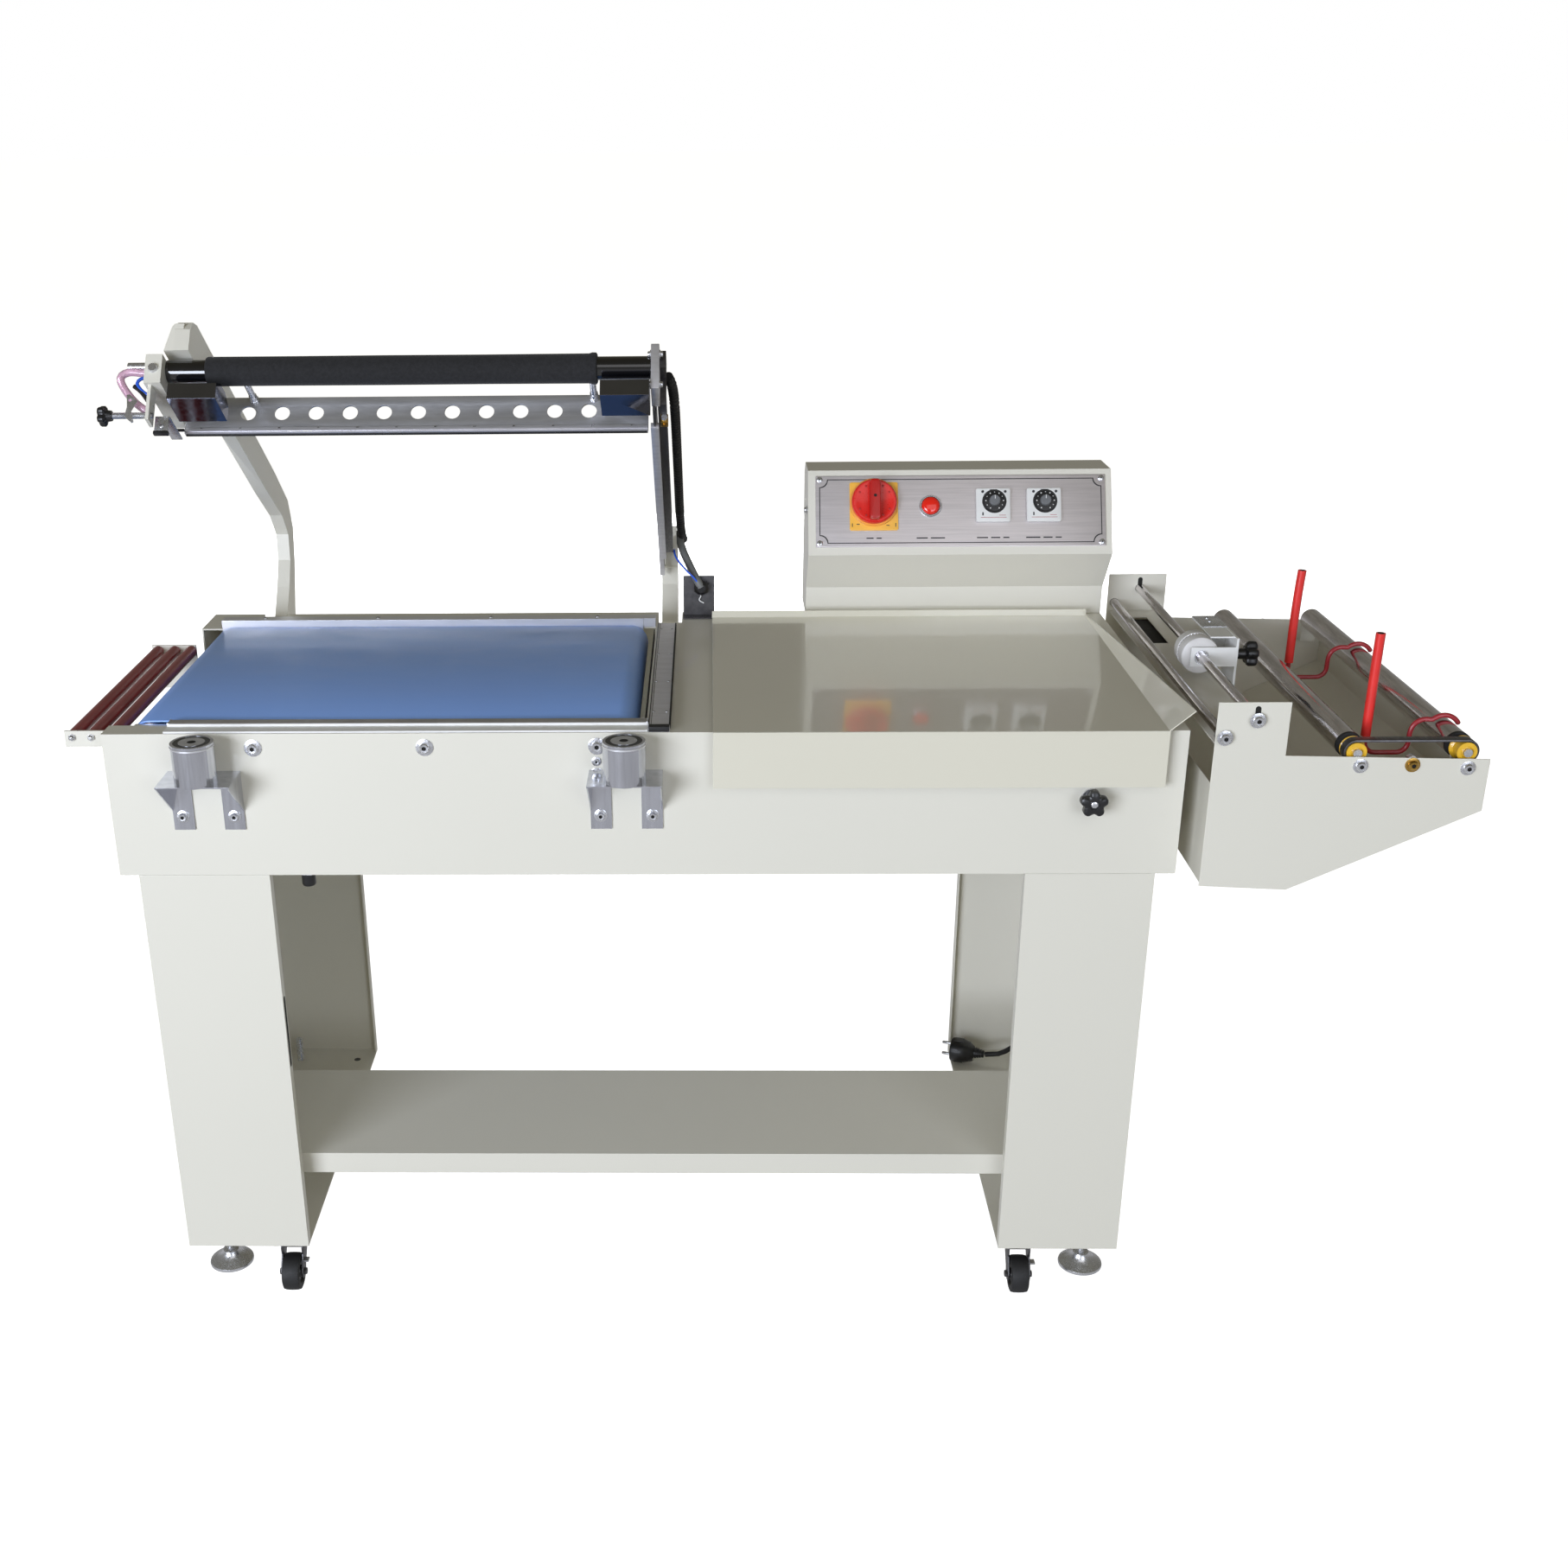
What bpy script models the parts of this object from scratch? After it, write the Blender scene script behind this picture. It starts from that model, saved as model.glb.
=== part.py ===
"""Semi-automatic L-bar film sealer: cabinet on two legs, belt conveyor, hinged sealing head,
sliding packing table, console and film cradle. Metres, +Z up, front of the machine towards -Y."""
import math

import bmesh
import bpy
from mathutils import Matrix, Vector

# ---------------------------------------------------------------- driving dimensions (metres)
# Shop coordinates: X from the cabinet's left end, Y from its front panel, Z from the floor.
FRAME_CENTRE = (0.7785, 0.28994)   # shop X, Y of the finished object's bounding box centre
GAP = 0.0003                     # clearance between touching pieces
RUN = 0.00005                    # radial clearance of a running fit
SHEET = 0.002                    # sheet metal thickness

CABINET_LENGTH = 1.275
CABINET_DEPTH = 0.530
RIM_Z = 0.7906                   # top of the cabinet
CABINET_Z = 0.6095               # underside of the cabinet
BELT_OPENING_X = 0.6425          # right end of the conveyor opening
BELT_OPENING_Y = (0.0322, 0.4530)

LEG_Z = 0.070                    # underside of the leg's base plate
LEG_LEFT_X = (0.0229, 0.1829)
LEG_RIGHT_X = (1.0958, 1.2511)
LEG_FLANGE = 0.014
SHELF_Z = 0.1959
SHELF_Y = (0.030, 0.2467)
SHELF_LIP = 0.030

FOOT_X = (0.067, 1.213)
CASTER_X = (0.157, 1.126)
FOOT_Y = (0.035, 0.495)
CASTER_Y = (0.030, 0.495)
CASTER_TRAIL = 0.022
WHEEL_RADIUS = 0.025
WHEEL_WIDTH = 0.020
FOOT_REST_Z = 0.0215             # the raised foot's pad above the floor

BELT_Z = 0.794                   # top of the belt
BELT_Y = (0.040, 0.448)
BELT_THICKNESS = 0.002
DRUM_RADIUS = 0.0222
IDLER_X = 0.0465
DRIVE_X = 0.607
DRUM_SHAFT = 0.006

DISCHARGE_X = (-0.045, -0.022, 0.001)
DISCHARGE_Z = 0.777
DISCHARGE_Y = (0.0325, 0.3895)
DISCHARGE_RADIUS = 0.00775

PAD_Z = 0.7965                   # top of both lower sealing pads
FRONT_PAD_X = (0.074, 0.645)
SIDE_PAD_X = (0.6455, 0.6705)

MAGNET_X = (0.118, 0.6185)
MAGNET_Y = -0.036
MAGNET_RADIUS = 0.025
MAGNET_Z = (0.7445, 0.7935)
BRACKET_HALF = 0.0435

PIVOT = (0.5637, 0.664)          # shop Y, Z of the sealing head's hinge line
OPEN_ANGLE = math.radians(38.1)  # how far the head stands open
ARM_LEFT_X = (0.080, 0.098)
ARM_RIGHT_X = (0.6485, 0.6715)
PIVOT_SHAFT = 0.010
SEAL_Z = 0.7975                  # lower edge of the sealing beams, head closed
SEAL_Y = 0.0276
BEAM_HEIGHT = 0.0515
HANDLE = (-0.040, 0.8455)        # handle centre, head closed
HANDLE_RADIUS = 0.0138
GRIP_RADIUS = 0.0172
KNOB_Y, KNOB_Z = -0.050, 0.782   # film tension knob's axis, head closed

CONSOLE_X = (0.855, 1.275)
CONSOLE_FACE = ((0.465, 0.888), (0.520, 0.995))   # lower and upper edge of the sloping face
SWITCH = (0.946, 0.068)          # X and height up the sloping face
DIAL_RISE = 0.005                # switch and dial centres above their square plates' centres
LAMP_X = 1.0245
TIMER_X = (1.1105, 1.1805)
TIMER_SIZE = 0.047

TABLE_X = (0.7212, 1.2489)
TABLE_Y = (-0.0145, 0.484)
TABLE_Z = 0.7955                 # top of the packing table
TABLE_KNOB = (1.166, 0.708)

TRAY_FRONT_Y = -0.032
TRAY_REAR_Y = 0.560
FILM_ROLLER_X = (1.4605, 1.5860)
FILM_ROLLER_Z = 0.7715
FILM_ROLLER_RADIUS = 0.015
FILM_ROLLER_Y = (0.000, 0.5450)
ROD_RADIUS = 0.006
GUIDE_ROD = (1.305, 0.7935)
PUNCH_ROD = (1.340, 0.8145)
PUNCH_Y = 0.2400
PUNCH_KNOB_Z = 0.8110
STOP_Y = (0.050, 0.350)
STOP_X = 1.4965

CORD_RADIUS = 0.004
GLAND = (1.190, 0.300)
COIL_X = (1.200, 1.2475)
COIL_CENTRE = (0.330, 0.345)     # shop Y, Z of the hanging coil
COIL_MEAN = 0.046

# ---------------------------------------------------------------- scene set-up
for old in list(bpy.data.objects):
    bpy.data.objects.remove(old, do_unlink=True)

parts = bpy.data.collections.new("film_sealer")
bpy.context.scene.collection.children.link(parts)
cutters = bpy.data.collections.new("cutters")
bpy.context.scene.collection.children.link(cutters)


def material(name, colour, roughness, metallic=0.0):
    made = bpy.data.materials.new(name)
    made.use_nodes = True
    shader = made.node_tree.nodes["Principled BSDF"]
    shader.inputs["Base Color"].default_value = (*colour, 1.0)
    shader.inputs["Roughness"].default_value = roughness
    shader.inputs["Metallic"].default_value = metallic
    return made


CREAM = material("cream_paint", (0.80, 0.78, 0.68), 0.35)
STEEL = material("polished_steel", (0.62, 0.62, 0.63), 0.18, 1.0)
BRUSHED = material("brushed_steel", (0.50, 0.50, 0.51), 0.35, 1.0)
BELT_BLUE = material("blue_belt", (0.07, 0.15, 0.42), 0.42)
DARK_RED = material("dark_red_sleeve", (0.20, 0.02, 0.02), 0.45)
BRIGHT_RED = material("bright_red_plastic", (0.72, 0.03, 0.03), 0.35)
BLACK = material("black_plastic", (0.02, 0.02, 0.022), 0.45)
FOAM = material("black_foam", (0.015, 0.015, 0.016), 0.8)
WHITE = material("white_plastic", (0.85, 0.85, 0.84), 0.4)
RUBBER = material("black_rubber", (0.02, 0.02, 0.02), 0.7)


# ---------------------------------------------------------------- helpers
def world(x, y, z):
    """Shop coordinates to the part's own frame."""
    return Vector((x - FRAME_CENTRE[0], y - FRAME_CENTRE[1], z))


def finish(obj, skin, group=None):
    (group or parts).objects.link(obj)
    if group is cutters:
        obj.hide_render = True
        obj.display_type = "WIRE"
    if skin and obj.data:
        obj.data.materials.append(skin)
    return obj


def box(name, x, y, z, skin=None, group=None, parent=None):
    """A box between two shop coordinates on each axis, its origin at its centre."""
    shape = bmesh.new()
    bmesh.ops.create_cube(shape, size=1.0)
    bmesh.ops.scale(shape, vec=(x[1] - x[0], y[1] - y[0], z[1] - z[0]), verts=shape.verts)
    mesh = bpy.data.meshes.new(name)
    shape.to_mesh(mesh)
    shape.free()
    obj = bpy.data.objects.new(name, mesh)
    centre = Vector(((x[0] + x[1]) / 2, (y[0] + y[1]) / 2, (z[0] + z[1]) / 2))
    obj.location = centre if parent else world(*centre)
    obj.parent = parent
    return finish(obj, skin, group)


AXES = {"X": (0.0, math.pi / 2, 0.0), "Y": (-math.pi / 2, 0.0, 0.0), "Z": (0.0, 0.0, 0.0)}


def turned(name, profile, place, axis, skin=None, group=None, parent=None, steps=24):
    """A turned piece: (radius, height) pairs from the top down, spun about the given axis."""
    mesh = bpy.data.meshes.new(name)
    points = [(radius, 0.0, height) for radius, height in profile]
    edges = [(i, i + 1) for i in range(len(points) - 1)]
    mesh.from_pydata(points, edges, [])
    obj = bpy.data.objects.new(name, mesh)
    screw = obj.modifiers.new("turn", "SCREW")
    screw.steps = steps
    screw.render_steps = steps
    screw.use_merge_vertices = True
    screw.merge_threshold = 0.00001
    obj.location = place if parent else world(*place)
    obj.rotation_euler = AXES[axis]
    obj.parent = parent
    return finish(obj, skin, group)


def rod(name, radius, start, end, axis, skin=None, group=None, parent=None, steps=24):
    """A plain round bar between two shop points that differ along one axis."""
    low, high = Vector(start), Vector(end)
    half = (high - low).length / 2
    profile = [(0.0, half), (radius, half), (radius, -half), (0.0, -half)]
    return turned(name, profile, (low + high) / 2, axis, skin, group, parent, steps)


PLANES = {"XY": (0.0, 0.0, 0.0), "XZ": (math.pi / 2, 0.0, 0.0), "YZ": (math.pi / 2, 0.0, math.pi / 2)}


def circle(centre, radius, count=16, turn=0.27):
    steps = [2 * math.pi * (i + turn) / count for i in range(count)]
    return [(centre[0] + radius * math.cos(a), centre[1] + radius * math.sin(a)) for a in steps]


def arc(centre, radius, start, end, count):
    """Points along an arc, angles in degrees."""
    angles = [math.radians(start + (end - start) * i / count) for i in range(count + 1)]
    return [(centre[0] + radius * math.cos(a), centre[1] + radius * math.sin(a)) for a in angles]


def plate(name, outline, plane, span, skin=None, holes=(), group=None, parent=None):
    """A flat outline in one plane, filled and extruded across span on the third axis."""
    curve = bpy.data.curves.new(name, "CURVE")
    curve.dimensions = "2D"
    curve.fill_mode = "BOTH"
    curve.extrude = abs(span[1] - span[0]) / 2
    for loop in (outline, *holes):
        spline = curve.splines.new("POLY")
        spline.points.add(len(loop) - 1)
        for point, (u, v) in zip(spline.points, loop):
            point.co = (u, v, 0.0, 1.0)
        spline.use_cyclic_u = True
    obj = bpy.data.objects.new(name, curve)
    middle = (span[0] + span[1]) / 2
    offset = {"XY": (0.0, 0.0, middle), "XZ": (0.0, middle, 0.0), "YZ": (middle, 0.0, 0.0)}[plane]
    obj.location = offset if parent else world(*offset)
    obj.rotation_euler = PLANES[plane]
    obj.parent = parent
    return finish(obj, skin, group)


def wire(name, points, radius, skin, closed_round=2, place=(0.0, 0.0, 0.0)):
    """A bent rod through shop points, its origin at the shop point place."""
    curve = bpy.data.curves.new(name, "CURVE")
    curve.dimensions = "3D"
    curve.bevel_depth = radius
    curve.bevel_resolution = closed_round
    curve.use_fill_caps = True
    spline = curve.splines.new("POLY")
    spline.points.add(len(points) - 1)
    for target, point in zip(spline.points, points):
        target.co = (*(Vector(point) - Vector(place)), 1.0)
    obj = bpy.data.objects.new(name, curve)
    obj.location = world(*place)
    return finish(obj, skin)


def as_mesh(obj):
    """The same object as a welded mesh, so that it can be cut, joined or used as a cutter."""
    bpy.context.view_layer.update()
    graph = bpy.context.evaluated_depsgraph_get()
    mesh = bpy.data.meshes.new_from_object(obj.evaluated_get(graph))
    shape = bmesh.new()
    shape.from_mesh(mesh)
    bmesh.ops.remove_doubles(shape, verts=shape.verts, dist=0.00001)
    shape.to_mesh(mesh)
    shape.free()
    name, matrix, parent = obj.name, obj.matrix_world.copy(), obj.parent
    group = obj.users_collection[0]
    hidden = obj.hide_render
    bpy.data.objects.remove(obj, do_unlink=True)
    made = bpy.data.objects.new(name, mesh)
    group.objects.link(made)
    made.hide_render = hidden
    made.display_type = "WIRE" if hidden else "TEXTURED"
    made.parent = parent
    made.matrix_world = matrix
    return made


def combine(obj, others, operation):
    """Boolean modifiers on obj with each of the others, which become hidden cutters."""
    for other in others:
        if other.type == "CURVE":
            other = as_mesh(other)
        step = obj.modifiers.new(other.name, "BOOLEAN")
        step.operation = operation
        step.object = other
        step.solver = "EXACT"
    return obj


def cut(obj, *others):
    return combine(obj, others, "DIFFERENCE")


def join(obj, *others):
    return combine(obj, others, "UNION")


def smooth(*objects):
    for obj in objects:
        if obj.type == "MESH":
            obj.data.shade_smooth()


# ---------------------------------------------------------------- cabinet, legs and shelf
def make_cabinet():
    """Folded and welded sheet cabinet: open below between the legs, open above over the conveyor."""
    length, depth = CABINET_LENGTH, CABINET_DEPTH
    body = box("cabinet", (0, length), (0, depth), (CABINET_Z, RIM_Z), CREAM)
    inside = box("cabinet_inside", (SHEET, length - SHEET), (SHEET, depth - SHEET),
                 (CABINET_Z + SHEET, RIM_Z - SHEET), group=cutters)
    below = box("cabinet_below", (0.190, 1.090), (0.025, depth - 0.025),
                (CABINET_Z - 0.01, CABINET_Z + 0.01), group=cutters)
    above = box("cabinet_above", (-0.01, BELT_OPENING_X), BELT_OPENING_Y,
                (0.740, RIM_Z + 0.01), group=cutters)
    cut(body, inside, below, above)
    for side, (low, high) in (("left", (0.072, 0.106)), ("right", (0.6445, 0.6785))):
        notch = box(f"notch_{side}", (low, high), (0.474, depth + 0.01),
                    (0.630, RIM_Z + 0.01), group=cutters)
        cut(body, notch)
    for x in (0.0438, 0.6900):
        lug = box(f"pivot_lug_{x}", (x, x + 0.012), (depth - SHEET / 2, 0.590),
                  (0.636, 0.692), group=cutters)
        join(body, lug)
    bore = rod("pivot_bore", PIVOT_SHAFT + RUN, (0.03, *PIVOT), (0.72, *PIVOT), "X",
               group=cutters, steps=48)
    cut(body, bore)
    front = box("discharge_lug_front", (-0.054, 0.0075), (0.0290, 0.0320),
                (0.765, 0.785), group=cutters)
    rear = box("discharge_lug_rear", (-0.054, 0.0075), (0.3900, 0.3930),
               (0.724, 0.785), group=cutters)
    join(body, front, rear)
    for index, x in enumerate(DISCHARGE_X):
        hole = rod(f"discharge_hole_{index}", 0.003 + RUN, (x, 0.0283, DISCHARGE_Z),
                   (x, 0.3943, DISCHARGE_Z), "Y", group=cutters, steps=24)
        cut(body, hole)
    for index, start in enumerate((0.090, 0.400)):
        spacer = box(f"tray_spacer_{index}", (length - SHEET / 2, 1.2965 - GAP), (start, start + 0.040),
                     (0.640, 0.720), group=cutters)
        join(body, spacer)
    gland = turned("cord_gland_boss", [(0, 0.003), (0.011, 0.003), (0.011, -0.010), (0.0085, -0.024),
                                       (0, -0.024)], (*GLAND, CABINET_Z), "Z", group=cutters, steps=16)
    join(body, gland)
    x, z = TABLE_KNOB
    knob_hole = rod("table_knob_hole", 0.004 + RUN, (x, -0.01, z), (x, 0.01, z), "Y",
                    group=cutters, steps=24)
    return cut(body, knob_hole)


def make_leg(name, span, open_side, peg=False):
    """A folded leg, open towards the middle of the machine, with a drilled base plate."""
    low, high = span
    top = CABINET_Z - GAP
    leg = box(name, span, (0, CABINET_DEPTH), (LEG_Z, top), CREAM)
    inside = box(f"{name}_inside", (low + SHEET, high - SHEET), (SHEET, CABINET_DEPTH - SHEET),
                 (LEG_Z + SHEET, top + 0.01), group=cutters)
    mouth_x = (high - 0.01, high + 0.01) if open_side > 0 else (low - 0.01, low + 0.01)
    mouth = box(f"{name}_mouth", mouth_x, (LEG_FLANGE, CABINET_DEPTH - LEG_FLANGE),
                (LEG_Z + SHEET, top + 0.01), group=cutters)
    cut(leg, inside, mouth)
    if peg:
        hook = rod("coil_peg", 0.0045, (high - SHEET / 2 - 0.056, COIL_CENTRE[0], COIL_CENTRE[1] + 0.0355),
                   (high - SHEET / 2, COIL_CENTRE[0], COIL_CENTRE[1] + 0.0355), "X",
                   group=cutters, steps=12)
        join(leg, hook)
    return leg


def drill_leg(leg, foot_x, caster_x):
    for index in (0, 1):
        for kind, x, y in (("foot", foot_x, FOOT_Y[index]), ("caster", caster_x, CASTER_Y[index])):
            hole = rod(f"{leg.name}_{kind}_hole_{index}", 0.005 + RUN, (x, y, LEG_Z - 0.01),
                       (x, y, LEG_Z + 0.01), "Z", group=cutters, steps=24)
            cut(leg, hole)


def make_shelf():
    """Folded shelf between the legs, lips down at the front and the back."""
    y0, y1 = SHELF_Y
    z1, z0 = SHELF_Z, SHELF_Z - SHELF_LIP
    t = 0.0015
    profile = [(y0, z0), (y0 + t, z0), (y0 + t, z1 - t), (y1 - t, z1 - t), (y1 - t, z0), (y1, z0),
               (y1, z1), (y0, z1)]
    span = (LEG_LEFT_X[0] + SHEET + GAP, LEG_RIGHT_X[1] - SHEET - GAP)
    return plate("shelf", profile, "YZ", span, CREAM)


# ---------------------------------------------------------------- casters and feet
def make_caster(name, x, y):
    """A swivel fork with its stem and axle, origin on the swivel axis, and its wheel."""
    fork = turned(f"{name}_fork", [(0, LEG_Z + SHEET), (0.005, LEG_Z + SHEET), (0.005, LEG_Z - GAP),
                                   (0.017, LEG_Z - GAP), (0.017, 0.063), (0, 0.063)],
                  (x, y, 0.0), "Z", BLACK)
    wheel_y = y - CASTER_TRAIL
    for side in (-1, 1):
        inner = x + side * (WHEEL_WIDTH / 2 + 0.0012)
        outer = inner + side * 0.0035
        cheek = [(y + 0.012, 0.066), (y - 0.020, 0.066), (wheel_y - 0.009, 0.030),
                 (wheel_y - 0.007, 0.017), (wheel_y + 0.006, 0.016)]
        arm = plate(f"{name}_cheek_{side}", cheek, "YZ", (min(inner, outer), max(inner, outer)),
                    group=cutters)
        join(fork, arm)
    half = WHEEL_WIDTH / 2 + 0.003
    axle = rod(f"{name}_axle", 0.004, (x - half, wheel_y, WHEEL_RADIUS),
               (x + half, wheel_y, WHEEL_RADIUS), "X", group=cutters, steps=16)
    join(fork, axle)
    r, w = WHEEL_RADIUS, WHEEL_WIDTH / 2
    bore = 0.004 + RUN
    profile = [(bore, w), (r - 0.003, w), (r, w - 0.003), (r, 0.003 - w), (r - 0.003, -w), (bore, -w),
               (bore, w)]
    wheel = turned(f"{name}_wheel", profile, (x, wheel_y, WHEEL_RADIUS), "X", RUBBER, steps=32)
    smooth(fork, wheel)


def make_foot(name, x, y):
    """A levelling foot: pad, cone, lock nut under the plate and threaded stud through it."""
    z = FOOT_REST_Z
    nut = LEG_Z - GAP
    profile = [(0, LEG_Z + 0.040), (0.005, LEG_Z + 0.040), (0.005, nut), (0.009, nut),
               (0.009, nut - 0.007), (0.005, nut - 0.007), (0.005, z + 0.022), (0.011, z + 0.020),
               (0.027, z + 0.007), (0.029, z + 0.004), (0.029, z), (0, z)]
    smooth(turned(name, profile, (x, y, 0.0), "Z", STEEL))


# ---------------------------------------------------------------- conveyor
def stadium(x0, x1, z, radius, count=10):
    """A closed belt outline round two drums at the same height."""
    return arc((x0, z), radius, 90, 270, count) + arc((x1, z), radius, -90, 90, count)


def make_conveyor():
    drum_z = BELT_Z - BELT_THICKNESS - GAP - DRUM_RADIUS
    inner = DRUM_RADIUS + GAP
    plate("conveyor_belt", stadium(IDLER_X, DRIVE_X, drum_z, inner + BELT_THICKNESS), "XZ", BELT_Y,
          BELT_BLUE, holes=[stadium(IDLER_X, DRIVE_X, drum_z, inner)])
    bed_z = BELT_Z - BELT_THICKNESS - 2 * GAP
    bed = box("conveyor_bed", (0.075, 0.578), (0.0375, 0.4505), (bed_z - 0.010, bed_z), BRUSHED)
    side_front = box("bed_side_front", (0.030, 0.625), (0.0325, 0.0385), (0.746, RIM_Z), group=cutters)
    side_rear = box("bed_side_rear", (0.030, 0.625), (0.4495, 0.4525), (0.746, 0.8035), group=cutters)
    rail = box("bed_rail", (0.030, 0.642), (0.4510, 0.4700), (RIM_Z + GAP, 0.8035), group=cutters)
    join(bed, side_front, side_rear, rail)
    for name, x in (("idler_roller", IDLER_X), ("drive_roller", DRIVE_X)):
        bore = rod(f"{name}_bore", DRUM_SHAFT + RUN, (x, 0.02, drum_z), (x, 0.46, drum_z), "Y",
                   group=cutters, steps=32)
        cut(bed, bore)
        face = (BELT_Y[1] - BELT_Y[0]) / 2 - 0.0005
        end = face + 0.0045
        profile = [(0, end), (DRUM_SHAFT, end), (DRUM_SHAFT, face), (DRUM_RADIUS, face),
                   (DRUM_RADIUS, -face), (DRUM_SHAFT, -face), (DRUM_SHAFT, -end), (0, -end)]
        centre = (x, sum(BELT_Y) / 2, drum_z)
        smooth(turned(name, profile, centre, "Y", STEEL, steps=32))


def make_discharge_rollers():
    y0, y1 = DISCHARGE_Y
    face, end = (y1 - y0) / 2, (y1 - y0) / 2 + 0.003
    radius = DISCHARGE_RADIUS
    profile = [(0, end), (0.003, end), (0.003, face), (radius, face), (radius, -face), (0.003, -face),
               (0.003, -end), (0, -end)]
    for index, x in enumerate(DISCHARGE_X, start=1):
        centre = (x, (y0 + y1) / 2, DISCHARGE_Z)
        smooth(turned(f"discharge_roller_{index}", profile, centre, "Y", DARK_RED, steps=24))


# ---------------------------------------------------------------- lower sealing pads and magnets
def make_pads():
    z0, z1 = RIM_Z + GAP, PAD_Z
    y0, y1, ridge = 0.0005, 0.0345, 0.0187
    profile = [(y0, z0), (y1, z0), (y1, z1), (ridge, z1), (ridge, z1 - 0.003), (y0, z1 - 0.003)]
    plate("front_seal_pad", profile, "YZ", FRONT_PAD_X, WHITE)
    box("side_seal_pad", SIDE_PAD_X, (0.0005, 0.4500), (z0, z1), BRUSHED)


def make_magnet(name, x):
    """A holding electromagnet on its bent bracket, screwed to the front panel."""
    z0, z1 = MAGNET_Z
    plate_z = (z0 - 0.0015, z0)
    left, right = x - BRACKET_HALF, x + BRACKET_HALF
    panel = -GAP
    pot = [(0, 0.049), (0.0155, 0.049), (0.0155, 0.047), (0.0215, 0.047), (0.0215, 0.049),
           (MAGNET_RADIUS, 0.049), (MAGNET_RADIUS, -0.0008), (0, -0.0008)]
    magnet = turned(name, pot, (x, MAGNET_Y, z1 - 0.049), "Z", STEEL, steps=32)
    top = box(f"{name}_plate", (left, right), (-0.0565, panel), plate_z, group=cutters)
    join(magnet, top)
    shy, top_z = 0.0003, plate_z[1] - 0.0004
    gusset = [(-0.0562, top_z), (-0.0562, plate_z[0] - 0.001), (panel - 0.0014, 0.694),
              (panel - shy, 0.694), (panel - shy, top_z)]
    for side, edge in (("left", left + shy), ("right", right - 0.0015 - shy)):
        web = plate(f"{name}_gusset_{side}", gusset, "YZ", (edge, edge + 0.0015), group=cutters)
        start = left + 2 * shy if side == "left" else right - 0.025 - 2 * shy
        strap = box(f"{name}_strap_{side}", (start, start + 0.025), (panel - 0.0018, panel - shy / 2),
                    (0.670, top_z - shy), group=cutters)
        join(magnet, web, strap)
    smooth(magnet)


# ---------------------------------------------------------------- sealing head
def head_empty():
    """An empty on the hinge line. Its children are placed as if the head were closed."""
    pivot = bpy.data.objects.new("head_pivot", None)
    parts.objects.link(pivot)
    y, z = PIVOT
    hinge = Matrix.Translation(world(0.0, y, z))
    swing = Matrix.Rotation(-OPEN_ANGLE, 4, "X")
    shift = Matrix.Translation((0.0, -y, -z))
    pivot.matrix_world = hinge @ swing @ shift
    return pivot


def head_plate(name, outline, span, skin, pivot, holes=(), group=None):
    return plate(name, outline, "YZ", span, skin, holes, group, pivot)


def make_arms(pivot):
    hub = PIVOT
    shaft_hole = [circle(hub, PIVOT_SHAFT + GAP, 48)]
    heel = arc(hub, 0.024, 28, -152, 8)
    foot_back = [(0.532, 0.774)]
    foot_front = [(0.484, 0.740)]
    left = (foot_back + [(0.506, 0.849), (0.483, 0.892), (0.442, 0.916), (0.361, 0.919)]
            + [(-0.034, 0.912), (-0.050, 0.906), (-0.058, 0.892), (-0.059, 0.8635)]
            + [(0.160, 0.867), (0.332, 0.873), (0.416, 0.879), (0.458, 0.869), (0.480, 0.838)]
            + [(0.485, 0.797)] + foot_front)
    arm = as_mesh(head_plate("arm_left", left + heel[::-1], ARM_LEFT_X, CREAM, pivot, shaft_hole))
    horn = [(0.0680, 0.8640), (0.0900, 0.8640), (0.0900, 0.9000), (0.0785, 0.9000), (0.0755, 0.8950)]
    flare = plate("arm_flare", horn, "XZ", (-0.0575, -0.0300), group=cutters, parent=pivot)
    block = box("arm_block", (0.050, 0.070), (-0.065, 0.0445), (0.817, 0.855), group=cutters,
                parent=pivot)
    bridge = box("arm_bridge", (0.052, 0.0965), (0.004, 0.042), (0.8525, 0.885), group=cutters,
                 parent=pivot)
    ear = box("knob_ear", (0.0540, 0.0580), (KNOB_Y - 0.010, KNOB_Y + 0.010),
              (KNOB_Z - 0.010, 0.820), group=cutters, parent=pivot)
    bore = rod("knob_bore", 0.004 + RUN, (0.050, KNOB_Y, KNOB_Z), (0.062, KNOB_Y, KNOB_Z), "X",
               group=cutters, parent=pivot)
    join(arm, flare, block, bridge, ear)
    cut(arm, bore)
    knob = [(0, 0.0550), (0.004, 0.0550), (0.004, 0.0065), (0.0070, 0.0065), (0.0070, 0.0020),
            (0.0115, 0.0010), (0.0125, -0.001), (0.0125, -0.0080), (0.0110, -0.0095), (0, -0.0095)]
    smooth(turned("tension_knob", knob, (0.005, KNOB_Y, KNOB_Z), "X", BLACK, parent=pivot))

    right = (foot_back + [(0.516, 0.822), (0.490, 0.852), (0.4575, 0.852), (0.4575, 0.815),
                          (0.465, 0.815), (0.482, 0.797)] + foot_front)
    post = as_mesh(head_plate("arm_right", right + heel[::-1], ARM_RIGHT_X, CREAM, pivot, shaft_hole))
    tongue = box("arm_tongue", (0.6540, 0.6708), (0.400, 0.475), (0.8155, 0.8510), group=cutters,
                 parent=pivot)
    join(post, tongue)
    shaft = rod("pivot_shaft", PIVOT_SHAFT, (0.040, *PIVOT), (0.706, *PIVOT), "X", STEEL,
                parent=pivot, steps=48)
    smooth(shaft)


def beam_outline(start, end):
    low, high = SEAL_Z + 0.004, SEAL_Z + BEAM_HEIGHT
    return [(start, low), (end, low), (end, high), (start, high)]


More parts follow.
